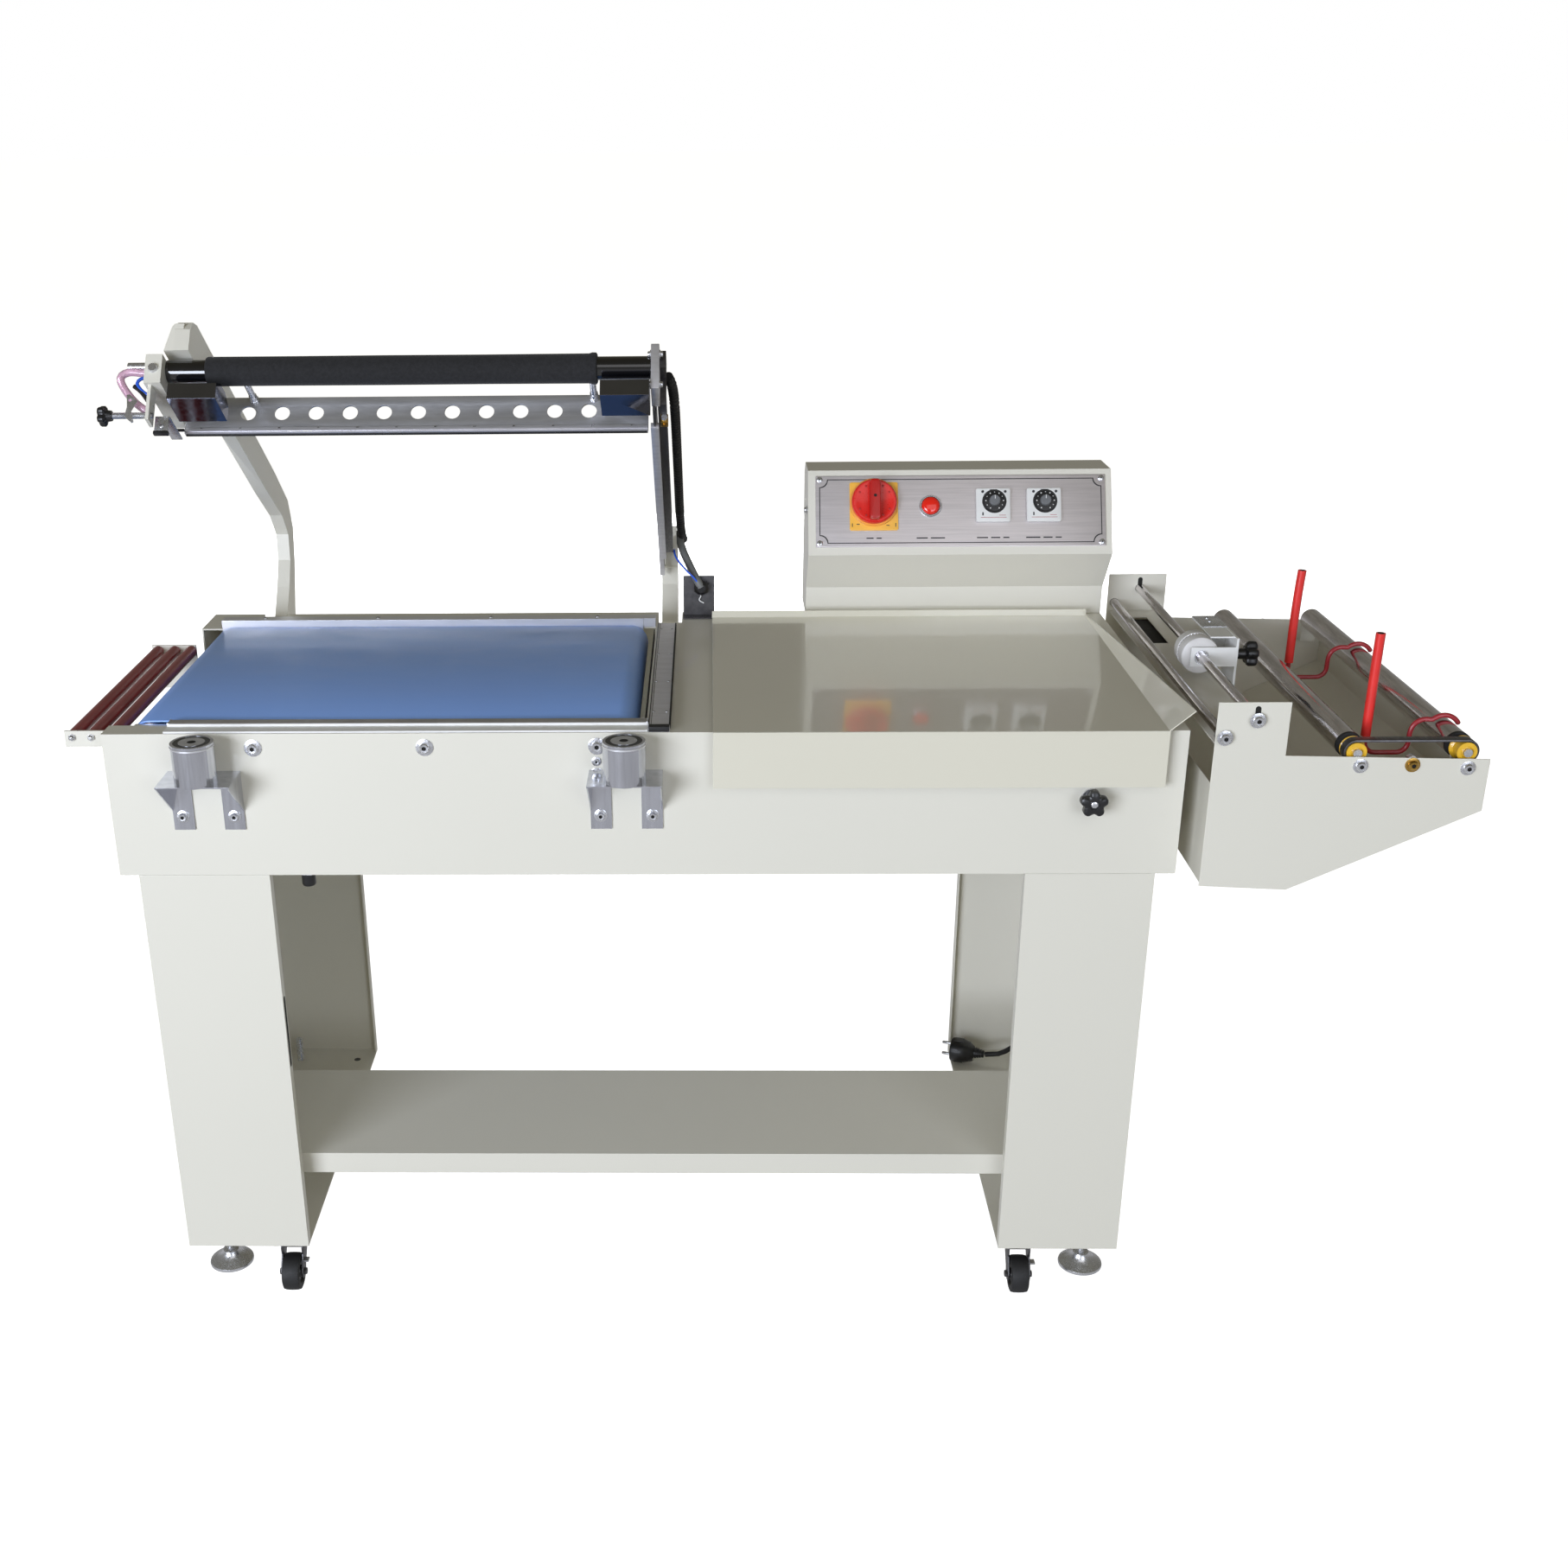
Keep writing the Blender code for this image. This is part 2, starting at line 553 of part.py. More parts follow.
def make_beams(pivot):
    """Perforated sealing beams: along the front and down the right side."""
    middle = SEAL_Z + 0.030
    holes = [circle((0.1505 + 0.042 * i, middle), 0.0095, 12, 0.1 + 0.07 * i) for i in range(11)]
    front = plate("seal_beam_front", beam_outline(0.074, 0.6435), "XZ", (SEAL_Y, SEAL_Y + 0.003),
                  BRUSHED, holes, None, pivot)
    front = as_mesh(front)
    edge = box("front_seal_edge", (0.0745, 0.643), (SEAL_Y - 0.003, SEAL_Y + 0.0055),
               (SEAL_Z + 0.001, SEAL_Z + 0.009), group=cutters, parent=pivot)
    join(front, edge)
    holes = [circle((0.070 + 0.042 * i, middle), 0.0095, 12, 0.1 + 0.07 * i) for i in range(9)]
    side = head_plate("seal_beam_side", beam_outline(-0.0200, 0.4550), (0.6500, 0.6530), BRUSHED,
                      pivot, holes)
    side = as_mesh(side)
    edge = box("side_seal_edge", (0.6465, 0.6565), (0.020, 0.3995), (SEAL_Z, SEAL_Z + 0.009),
               group=cutters, parent=pivot)
    tail = box("side_seal_tail", (0.6465, 0.6530), (0.399, 0.4550), (SEAL_Z, SEAL_Z + 0.009),
               group=cutters, parent=pivot)
    post = box("side_end_plate", (0.6490, 0.6590), (-0.062, -0.0185), (0.806, 0.865),
               group=cutters, parent=pivot)
    join(side, edge, tail, post)


def make_handle(pivot):
    """The handle tube with its foam grip, between the left block and the right end plate."""
    y, z = HANDLE
    left, right, grip_left, grip_right = 0.0703, 0.6487, 0.1180, 0.5850
    middle = (left + right) / 2
    a, b = left - middle, right - middle
    c, d = grip_left - middle, grip_right - middle
    profile = [(0, b), (HANDLE_RADIUS, b), (HANDLE_RADIUS, d), (GRIP_RADIUS, d - 0.001),
               (GRIP_RADIUS, c + 0.001), (HANDLE_RADIUS, c), (HANDLE_RADIUS, a), (0, a)]
    smooth(turned("handle", profile, (middle, y, z), "X", FOAM, parent=pivot))


def make_armatures(pivot):
    """Steel boxes under the handle that meet the magnets when the head is closed."""
    for name, x, y1 in (("armature_left", 0.1085, -0.012), ("armature_right", 0.6185, -0.018)):
        half = 0.0290
        y0 = -0.067
        z0, z1 = SEAL_Z - 0.0030, SEAL_Z + 0.0170
        profile = [(y0, z0), (y1, z0), (y1, z1), (-0.028, z1 + 0.009), (-0.050, z1 + 0.009), (y0, z1)]
        profile = [(u, min(v, HANDLE[1] - GRIP_RADIUS - 0.001)) for u, v in profile]
        head_plate(name, profile, (x - half, x + half), STEEL, pivot)


# ---------------------------------------------------------------- console
def make_console():
    low, high = CONSOLE_FACE
    z0 = RIM_Z + GAP
    outline = [(0.512, z0), (0.510, 0.831), low, high, (0.585, 0.995), (0.600, 0.980), (0.600, z0)]
    shell = as_mesh(plate("control_box", outline, "YZ", CONSOLE_X, CREAM))
    hollow = [(0.514, z0 - 0.01), (0.512, 0.8318), (0.4676, 0.8884), (0.5213, 0.993),
              (0.584, 0.993), (0.598, 0.979), (0.598, z0 - 0.01)]
    inside = (CONSOLE_X[0] + SHEET, CONSOLE_X[1] - SHEET)
    cut(shell, plate("console_inside", hollow, "YZ", inside, group=cutters))

    face = bpy.data.objects.new("console_face", None)
    parts.objects.link(face)
    face.location = world(0.0, *low)
    face.rotation_euler = (math.atan2(high[1] - low[1], high[0] - low[0]), 0.0, 0.0)

    panel = box("control_panel", (0.8655, 1.2660), (0.0110, 0.1120), (GAP, 0.0018), BRUSHED,
                parent=face)
    x, y = SWITCH
    seat = box("switch_seat", (x - 0.0335, x + 0.0335), (y - 0.034, y + 0.034), (0.001, 0.0040),
               group=cutters, parent=face)
    centre_y = y + DIAL_RISE
    ring = turned("switch_ring", [(0, 0.0085), (0.0325, 0.0085), (0.0337, 0.0070), (0.0337, 0.003),
                                  (0, 0.003)], (x, centre_y, 0.0), "Z", group=cutters, parent=face, steps=40)
    lamp = turned("pilot_lamp", [(0, 0.0095), (0.007, 0.009), (0.011, 0.007), (0.0125, 0.004),
                                 (0.0145, 0.004), (0.0145, 0.001), (0, 0.001)], (LAMP_X, y, 0.0), "Z",
                  group=cutters, parent=face, steps=20)
    join(panel, seat, ring, lamp)
    half = TIMER_SIZE / 2
    dial_profile = [(0, 0.0160), (0.0125, 0.0160), (0.0140, 0.0145), (0.0150, 0.0083), (0, 0.0083)]
    for name, x_timer in zip(("seal_time_dial", "conveyor_time_dial"), TIMER_X):
        timer = box(f"{name}_timer", (x_timer - half, x_timer + half), (y - half, y + half),
                    (0.001, 0.0080), group=cutters, parent=face)
        join(panel, timer)
        place = (x_timer + 0.0015, centre_y, 0.0)
        smooth(turned(name, dial_profile, place, "Z", BLACK, parent=face, steps=24))
    profile = [(0, 0.0165), (0.0285, 0.0165), (0.0312, 0.0140), (0.0312, 0.0088), (0, 0.0088)]
    knob = turned("main_switch", profile, (x, centre_y, 0.0), "Z", BRIGHT_RED, parent=face, steps=40)
    bar = box("switch_bar", (x - 0.0065, x + 0.0065), (centre_y - 0.0275, centre_y + 0.0275),
              (0.0140, 0.0285), group=cutters, parent=face)
    join(knob, bar)


# ---------------------------------------------------------------- packing table
def make_packing_table():
    """Sliding sheet with a folded front, a rear lip and a flared flap at the right."""
    y0, y1 = TABLE_Y
    z = TABLE_Z
    t = 0.0016
    profile = [(y0, z), (y0, z - 0.070), (y0 + t, z - 0.070), (y0 + t, z - t), (y1, z - t),
               (y1, z + 0.009), (y1 - t, z + 0.009), (y1 - t, z)]
    table = as_mesh(plate("packing_table", profile, "YZ", TABLE_X, CREAM))
    rise = math.radians(41.0)
    hinge = bpy.data.objects.new("flap_fold", None)
    parts.objects.link(hinge)
    hinge.location = world(TABLE_X[1] - 0.001, 0.0, z - t)
    hinge.rotation_euler = (0.0, -rise, 0.0)
    flap = plate("table_flap", [(0, y0), (0.0375, y0), (0.0375, y0 + 0.004), (0.004, y1 - 0.004), (0, y1 - 0.004)],
                 "XY", (0, t), group=cutters, parent=hinge)
    join(table, flap)
    for index, start in enumerate((0.740, 1.205)):
        runner = box(f"table_runner_{index}", (start, start + 0.025), (0.012, 0.470),
                     (RIM_Z + GAP, z - t / 2), group=cutters)
        join(table, runner)

    x, knob_z = TABLE_KNOB
    profile = [(0, 0.026), (0.010, 0.026), (0.0165, 0.023), (0.0165, 0.012), (0.0085, 0.010),
               (0.0085, 0.0015), (0.004, 0.0015), (0.004, -0.025), (0, -0.025)]
    knob = turned("table_knob", profile, (x, -0.0015, knob_z), "Y", BLACK, steps=24)
    knob.rotation_euler = (math.pi / 2, 0.0, 0.0)
    smooth(knob)


# ---------------------------------------------------------------- film cradle
def make_tray():
    outline = [(1.295, 0.607), (1.3975, 0.602), (1.611, 0.702), (1.611, 0.7655), (1.3775, 0.7705),
               (1.3775, 0.835), (1.295, 0.835)]
    holes = [circle(GUIDE_ROD, ROD_RADIUS + GAP, 16), circle(PUNCH_ROD, ROD_RADIUS + GAP, 16)]
    y0, y1 = FILM_ROLLER_Y
    for name, y, ear_y in (("tray_front", TRAY_FRONT_Y, (y0 - 0.0050, y0 - 0.0022)),
                           ("tray_rear", TRAY_REAR_Y, (y1 + 0.0022, y1 + 0.0050))):
        cheek = as_mesh(plate(name, outline, "XZ", (y, y + SHEET), CREAM, holes))
        for index, x in enumerate(FILM_ROLLER_X):
            z = FILM_ROLLER_Z
            lobe = arc((x, z), 0.0105, -20, 200, 10) + [(x - 0.0105, z - 0.034), (x + 0.0105, z - 0.034)]
            hole = [circle((x, z), 0.005 + RUN, 32)]
            ear = plate(f"{name}_ear_{index}", lobe, "XZ", ear_y, None, hole, cutters)
            inner, outer = sorted((sum(ear_y) / 2, y + SHEET / 2))
            stud = rod(f"{name}_stud_{index}", 0.005, (x, inner, z - 0.0265), (x, outer, z - 0.0265),
                       "Y", group=cutters, steps=12)
            join(cheek, ear, stud)
    t = 0.0015
    strip = [(1.2965, 0.735), (1.2965, 0.6095), (1.3970, 0.6045), (1.6095, 0.7045), (1.6095, 0.752),
             (1.6080, 0.752), (1.6080, 0.7055), (1.3970, 0.6061), (1.2965 + t, 0.6111),
             (1.2965 + t, 0.735)]
    plate("tray_floor", strip, "XZ", (TRAY_FRONT_Y + SHEET + GAP, TRAY_REAR_Y - GAP), CREAM)

    middle, half = (y0 + y1) / 2, (y1 - y0) / 2
    radius, hub = FILM_ROLLER_RADIUS, 0.0115
    profile = [(0, half + 0.0055), (0.005, half + 0.0055), (0.005, half), (radius, half), (radius, -half),
               (0.005, -half), (0.005, -half - 0.0065), (hub, -half - 0.0065), (hub, -half - 0.0265),
               (0.005, -half - 0.0265), (0.005, -half - 0.0285), (0, -half - 0.0285)]
    for name, x in zip(("film_roller_inner", "film_roller_outer"), FILM_ROLLER_X):
        smooth(turned(name, profile, (x, middle, FILM_ROLLER_Z), "Y", STEEL, steps=32))
    for name, (x, z) in (("guide_rod", GUIDE_ROD), ("punch_rod", PUNCH_ROD)):
        smooth(rod(name, ROD_RADIUS, (x, TRAY_FRONT_Y - 0.004, z), (x, TRAY_REAR_Y + 0.006, z), "Y",
                   STEEL))


def make_punch():
    """Perforating wheel on the upper rod, held between the cheeks of a bent carriage."""
    x, z = PUNCH_ROD
    y = PUNCH_Y
    bore = ROD_RADIUS + 0.0024       # a loose nylon wheel
    wheel = [(bore, 0.021), (0.0215, 0.021), (0.0240, 0.0185), (0.0240, -0.0185), (0.0215, -0.021),
             (bore, -0.021), (bore, 0.021)]
    smooth(turned("punch_wheel", wheel, (x, y, z), "Y", WHITE, steps=32))
    wall = (1.3825, 1.3855)
    carriage = box("punch_carriage", wall, (y - 0.0265, y + 0.0280), (0.7740, 0.8385), WHITE)
    flange = box("carriage_flange", (1.3525, wall[1] - 0.0005), (y - 0.0150, y + 0.0800),
                 (0.8360, 0.8380), group=cutters)
    join(carriage, flange)
    for index, near in enumerate((-0.0262, 0.0240)):
        cheek = box(f"carriage_cheek_{index}", (x - 0.0135, wall[0] + 0.0015), (y + near, y + near + 0.0026),
                    (z - 0.0125, z + 0.0125), group=cutters)
        join(carriage, cheek)
    bore_cut = rod("carriage_bore", ROD_RADIUS + GAP, (x, y - 0.04, z), (x, y + 0.04, z), "Y",
                   group=cutters, steps=20)
    stem_cut = rod("carriage_stem_bore", 0.003 + GAP, (1.375, y, PUNCH_KNOB_Z), (1.392, y, PUNCH_KNOB_Z),
                   "X", group=cutters, steps=16)
    cut(carriage, bore_cut, stem_cut)
    knob = [(0, 0.031), (0.014, 0.031), (0.0165, 0.028), (0.0165, 0.017), (0.0145, 0.015),
            (0.007, 0.014), (0.007, 0), (0.003, 0), (0.003, -0.0100), (0, -0.0100)]
    smooth(turned("punch_knob", knob, (wall[1] + GAP, y, PUNCH_KNOB_Z), "X", BLACK))


def make_stops():
    """Red rods that hook over the outer film roller; each carries a sleeved post between the rollers."""
    radius = 0.003
    roller_x = FILM_ROLLER_X[1]
    hook = FILM_ROLLER_RADIUS + radius + 0.0018
    for name, y in (("film_stop_front", STOP_Y[0]), ("film_stop_rear", STOP_Y[1])):
        foot = arc((STOP_X + 0.013, 0.7580), 0.013, 180, 270, 3)
        heel = arc((1.5350, 0.7580), 0.013, -90, 0, 3)
        over = arc((roller_x, FILM_ROLLER_Z), hook, 132, 30, 7)
        route = [(STOP_X, 0.8860)] + foot + heel + [(1.5485, 0.772), (1.5530, 0.7815), (1.5620, 0.7862)]
        points = [(u, y, v) for u, v in route + over]
        stop = as_mesh(wire(name, points, radius, BRIGHT_RED, 1, (STOP_X, y, 0.80)))
        sleeve = rod(f"{name}_sleeve", 0.0056, (STOP_X, y, 0.7660), (STOP_X, y, 0.8925), "Z",
                     group=cutters, steps=16)
        join(stop, sleeve)
        smooth(stop)


# ---------------------------------------------------------------- conduit bracket, mains cord
def make_gland_bracket():
    base = RIM_Z + GAP + 0.0008
    outline = [(0.6805, base), (0.7245, base), (0.7245, 0.849), (0.6805, 0.849)]
    holes = [circle((0.706, 0.834), 0.0085, 16)]
    stand = as_mesh(plate("gland_bracket", outline, "XZ", (0.5080, 0.5110), BRUSHED, holes))
    foot = box("gland_foot", (0.6800, 0.7250), (0.4900, 0.5100), (RIM_Z + GAP, RIM_Z + GAP + 0.002),
               group=cutters)
    join(stand, foot)


def bezier_points(guide, spacing):
    """Evenly read points along a smooth curve through the guide points."""
    knots = [Vector(p) for p in guide]
    out = []
    for i in range(len(knots) - 1):
        before = knots[max(i - 1, 0)]
        a, b = knots[i], knots[i + 1]
        after = knots[min(i + 2, len(knots) - 1)]
        count = max(1, round((b - a).length / spacing))
        for k in range(count):
            t = k / count
            out.append(0.5 * ((2 * a) + (b - before) * t + (2 * before - 5 * a + 4 * b - after) * t ** 2
                              + (3 * a - before - 3 * b + after) * t ** 3))
    out.append(knots[-1])
    return out


# The cord leaves the gland downwards and runs to the hanging coil.
CORD_DROP = [(1.190, 0.300, 0.5852), (1.190, 0.300, 0.562), (1.192, 0.299, 0.520), (1.198, 0.296, 0.470),
             (1.203, 0.288, 0.420), (1.2045, 0.2838, 0.3775)]
# The tail leaves the coil's far side, sinks to the leg's floor and ends in the plug.
CORD_TAIL = [(1.2430, 0.3625, 0.2990), (1.2430, 0.3795, 0.2941), (1.2425, 0.3923, 0.2812),
             (1.2415, 0.3975, 0.2640), (1.2375, 0.4000, 0.2300), (1.2230, 0.4170, 0.1850),
             (1.2020, 0.4400, 0.1470), (1.1840, 0.4580, 0.1150), (1.1660, 0.4705, 0.0965),
             (1.1470, 0.4780, 0.0912)]


def make_cord():
    smooth(wire("mains_cord", bezier_points(CORD_DROP, 0.018), CORD_RADIUS, BLACK))
    smooth(wire("mains_cord_tail", bezier_points(CORD_TAIL, 0.018), CORD_RADIUS, BLACK))
    inner, outer = COIL_MEAN - CORD_RADIUS - 0.0012, COIL_MEAN + CORD_RADIUS + 0.0012
    half = (COIL_X[1] - COIL_X[0]) / 2
    profile = [(inner, half), (outer, half), (outer, -half), (inner, -half), (inner, half)]
    centre = ((COIL_X[0] + COIL_X[1]) / 2, *COIL_CENTRE)
    smooth(turned("mains_cord_coil", profile, centre, "X", BLACK, steps=32))
    plug = turned("mains_plug", [(0, 0.030), (0.006, 0.030), (0.009, 0.022), (0.016, 0.006),
                                 (0.0185, -0.002), (0.0185, -0.020), (0.0165, -0.022), (0, -0.022)],
                  (0.0, 0.0, 0.0), "Z", BLACK, steps=20)
    direction = Vector((0.94, -0.34, 0.0)).normalized()
    plug.rotation_euler = direction.to_track_quat("Z", "Y").to_euler()
    plug.location = world(*CORD_TAIL[-1]) - direction * 0.0318
    smooth(plug)


# ---------------------------------------------------------------- build everything
make_cabinet()
drill_leg(make_leg("leg_left", LEG_LEFT_X, 1), FOOT_X[0], CASTER_X[0])
drill_leg(make_leg("leg_right", LEG_RIGHT_X, -1, peg=True), FOOT_X[1], CASTER_X[1])
make_shelf()
for row, y_index in (("front", 0), ("rear", 1)):
    for hand, x_index in (("left", 0), ("right", 1)):
        make_caster(f"caster_{row}_{hand}", CASTER_X[x_index], CASTER_Y[y_index])
        make_foot(f"foot_{row}_{hand}", FOOT_X[x_index], FOOT_Y[y_index])
make_conveyor()
make_discharge_rollers()
make_pads()
make_magnet("magnet_left", MAGNET_X[0])
make_magnet("magnet_right", MAGNET_X[1])
head = head_empty()
make_arms(head)
make_beams(head)
make_handle(head)
make_armatures(head)
make_console()
make_packing_table()
make_tray()
make_punch()
make_stops()
make_gland_bracket()
make_cord()
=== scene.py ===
"""Looks of a semi-automatic L-bar film sealer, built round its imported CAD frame.

Shop coordinates: X from the cabinet's left end, Y from its front panel, Z from the floor. Pieces are drawn in
millimetres.
"""
import math

import bmesh
import bpy
from mathutils import Matrix, Vector


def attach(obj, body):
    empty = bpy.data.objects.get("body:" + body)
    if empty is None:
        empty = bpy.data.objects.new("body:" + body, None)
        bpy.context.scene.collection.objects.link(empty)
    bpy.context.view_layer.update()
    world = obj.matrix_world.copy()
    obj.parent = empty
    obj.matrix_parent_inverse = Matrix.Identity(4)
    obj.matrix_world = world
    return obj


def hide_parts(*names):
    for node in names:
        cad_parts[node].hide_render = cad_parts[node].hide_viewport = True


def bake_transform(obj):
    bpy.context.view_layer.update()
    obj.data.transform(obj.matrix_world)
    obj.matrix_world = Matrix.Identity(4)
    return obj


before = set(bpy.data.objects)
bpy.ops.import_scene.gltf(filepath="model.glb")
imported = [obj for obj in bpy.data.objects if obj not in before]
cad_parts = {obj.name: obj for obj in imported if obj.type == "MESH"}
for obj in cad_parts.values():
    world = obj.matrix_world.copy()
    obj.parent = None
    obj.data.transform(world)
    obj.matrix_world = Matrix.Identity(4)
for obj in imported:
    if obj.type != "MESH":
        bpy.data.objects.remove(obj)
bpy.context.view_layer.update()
scene = bpy.context.scene
scene.view_settings.view_transform = "Standard"

MM = 0.001
FRAME_CENTRE = (0.7785, 0.28994)      # shop X, Y of the CAD model's origin
PIVOT = (0.5637, 0.664)               # shop Y, Z of the sealing head's hinge
OPEN_ANGLE = math.radians(38.1)       # the head stands open at rest
CONSOLE_LOW, CONSOLE_HIGH = (0.465, 0.888), (0.52, 0.995)

SHOP = Matrix.Translation((-FRAME_CENTRE[0], -FRAME_CENTRE[1], 0.0))
HEAD = (SHOP @ Matrix.Translation((0.0, *PIVOT)) @ Matrix.Rotation(-OPEN_ANGLE, 4, "X")
        @ Matrix.Translation((0.0, -PIVOT[0], -PIVOT[1])))
FACE = (SHOP @ Matrix.Translation((0.0, *CONSOLE_LOW))
        @ Matrix.Rotation(math.atan2(CONSOLE_HIGH[1] - CONSOLE_LOW[1], CONSOLE_HIGH[0] - CONSOLE_LOW[0]), 4, "X"))


def aim_camera():
    """The photograph's view: a little left of the middle, looking down on the machine."""
    pitch, yaw, roll = math.radians(22.39), math.radians(1.47), math.radians(-0.691)
    forward = Vector((-math.sin(yaw) * math.cos(pitch), math.cos(yaw) * math.cos(pitch), -math.sin(pitch)))
    right = Vector((math.cos(yaw), math.sin(yaw), 0.0))
    up = right.cross(forward)
    across = math.cos(roll) * right + math.sin(roll) * up
    above = math.cos(roll) * up - math.sin(roll) * right
    data = bpy.data.cameras.new("photo_view")
    data.sensor_width, data.lens = 36.0, 40.56
    data.shift_x, data.shift_y = 0.07447, 0.03145
    data.clip_end = 60.0
    camera = bpy.data.objects.new("photo_view", data)
    scene.collection.objects.link(camera)
    pose = Matrix((across, above, -forward)).transposed().to_4x4()
    pose.translation = (-0.0621, -2.24264, 1.4678)
    camera.matrix_world = pose
    scene.camera = camera


aim_camera()


# -------- materials
def tone(red, green, blue):
    """A colour from 0 to 255 values on a screen to linear light."""
    return tuple(c / 12.92 if c <= 0.04045 else ((c + 0.055) / 1.055) ** 2.4 for c in (red / 255, green / 255,
            blue / 255))


def skin(name, colour, rough, mottle, grain, metal=0.0, coat=0.0, stretch=(1.0, 1.0, 1.0), spread=0.04,
         sheen=0.0, clear=0.0):
    """A procedural finish: cloudy colour, uneven gloss and a fine surface grain."""
    made = bpy.data.materials.new(name)
    made.use_nodes = True
    tree = made.node_tree
    node, link = tree.nodes.new, tree.links.new
    shader = tree.nodes["Principled BSDF"]
    for socket, value in (("Metallic", metal), ("Coat Weight", coat), ("Coat Roughness", 0.06), ("Sheen Weight",
            sheen), ("Transmission Weight", clear)):
        shader.inputs[socket].default_value = value
    place, scale = node("ShaderNodeTexCoord"), node("ShaderNodeMapping")
    scale.inputs["Scale"].default_value = stretch
    link(place.outputs["Object"], scale.inputs["Vector"])

    def noise(size, detail):
        cloud = node("ShaderNodeTexNoise")
        cloud.inputs["Scale"].default_value = size
        cloud.inputs["Detail"].default_value = detail
        link(scale.outputs["Vector"], cloud.inputs["Vector"])
        return cloud.outputs["Fac"]

    blend = node("ShaderNodeMix")
    blend.data_type = "RGBA"
    blend.inputs[6].default_value = (*[c * (1 - mottle[1]) for c in colour], 1.0)
    blend.inputs[7].default_value = (*[min(1.0, c * (1 + mottle[1])) for c in colour], 1.0)
    span = node("ShaderNodeMapRange")
    span.inputs["From Min"].default_value, span.inputs["From Max"].default_value = 0.32, 0.68
    link(noise(mottle[0], 4.0), span.inputs["Value"])
    link(span.outputs["Result"], blend.inputs[0])
    link(blend.outputs[2], shader.inputs["Base Color"])
    gloss = node("ShaderNodeMapRange")
    gloss.inputs["From Min"].default_value, gloss.inputs["From Max"].default_value = 0.3, 0.7
    gloss.inputs["To Min"].default_value = max(0.02, rough - spread)
    gloss.inputs["To Max"].default_value = min(1.0, rough + spread)
    link(noise(mottle[0] * 6.0, 3.0), gloss.inputs["Value"])
    link(gloss.outputs["Result"], shader.inputs["Roughness"])
    bump = node("ShaderNodeBump")
    bump.inputs["Strength"].default_value = grain[1]
    bump.inputs["Distance"].default_value = 0.0005
    link(noise(grain[0], 2.0), bump.inputs["Height"])
    link(bump.outputs["Normal"], shader.inputs["Normal"])
    return made


PAINT = skin("cream_paint", tone(228, 225, 213), 0.34, (1.6, 0.01), (420, 0.02), coat=0.25, spread=0.012)
TABLE_PAINT = skin("table_paint", tone(225, 221, 204), 0.2, (1.6, 0.012), (300, 0.004), coat=1, spread=0.01)
STAINLESS = skin("stainless_sheet", tone(226, 226, 230), 0.36, (9, 0.05), (60, 0.03), metal=0.82, stretch=(1, 12, 12),
                 spread=0.04)
MAGNET = skin("magnet_steel", tone(206, 208, 216), 0.17, (16, 0.12), (120, 0.02), metal=0.92, stretch=(6, 6, 0.4),
              spread=0.05)
BRUSHED = skin("brushed_panel", tone(214, 208, 209), 0.36, (14, 0.07), (90, 0.1), metal=0.72, stretch=(1, 26, 26),
               spread=0.07)
BEAM = skin("beam_steel", tone(196, 196, 199), 0.42, (12, 0.1), (120, 0.1), metal=0.72, stretch=(1, 6, 14),
            spread=0.07)
ALUMINIUM = skin("aluminium_bar", tone(222, 221, 226), 0.38, (20, 0.06), (160, 0.08), metal=0.72, stretch=(1, 8, 8))
CHROME = skin("chrome_roller", tone(205, 200, 200), 0.13, (18, 0.2), (70, 0.05), metal=1.0, stretch=(10, 1, 10),
              spread=0.08)
MIRROR = skin("polished_plate", tone(128, 130, 144), 0.1, (25, 0.08), (200, 0.02), metal=1.0, spread=0.04)
ZINC = skin("zinc_plate", tone(212, 213, 217), 0.27, (60, 0.12), (500, 0.08), metal=0.88, spread=0.09)
DARK_STEEL = skin("dark_steel", tone(96, 95, 97), 0.4, (18, 0.16), (220, 0.12), metal=0.9, stretch=(6, 1, 6),
                  spread=0.09)
BRASS = skin("brass", tone(178, 142, 72), 0.3, (90, 0.12), (500, 0.06), metal=1.0)
BELT = skin("blue_belt", tone(137, 180, 255), 0.46, (3, 0.025), (1500, 0.16), sheen=0.04, coat=0.05, stretch=(1, 1.6,
        1), spread=0.05)
DARK_RED = skin("dark_red_sleeve", tone(150, 46, 50), 0.34, (30, 0.12), (400, 0.05), coat=0.25, stretch=(5, 1, 5))
BRIGHT_RED = skin("bright_red_sleeve", tone(236, 52, 48), 0.36, (40, 0.05), (600, 0.05), coat=0.2)
ROD_RED = skin("dark_red_rod", tone(168, 44, 52), 0.32, (60, 0.1), (500, 0.06), coat=0.3)
SWITCH_RED = skin("switch_red", tone(228, 34, 28), 0.3, (80, 0.05), (900, 0.03), coat=0.4)
BAR_RED = skin("switch_bar_red", tone(188, 22, 20), 0.33, (80, 0.06), (900, 0.03), coat=0.3)
LENS_RED = skin("lamp_lens", tone(240, 34, 18), 0.12, (120, 0.06), (700, 0.02), coat=0.8)
YELLOW = skin("seat_yellow", tone(250, 190, 74), 0.36, (30, 0.03), (900, 0.03), coat=0.2)
ORANGE = skin("ring_orange", tone(244, 168, 70), 0.34, (50, 0.03), (900, 0.03), coat=0.3)
PULLEY = skin("pulley_yellow", tone(240, 190, 48), 0.3, (90, 0.06), (700, 0.04), coat=0.5)
BLACK = skin("black_plastic", tone(24, 24, 26), 0.36, (70, 0.25), (1400, 0.12), coat=0.15)
TUBE_BLACK = skin("tube_black", tone(14, 14, 17), 0.12, (20, 0.2), (200, 0.01), coat=1)
FOAM = skin("grip_foam", tone(28, 28, 30), 0.9, (240, 0.3), (900, 0.8), sheen=0.08)
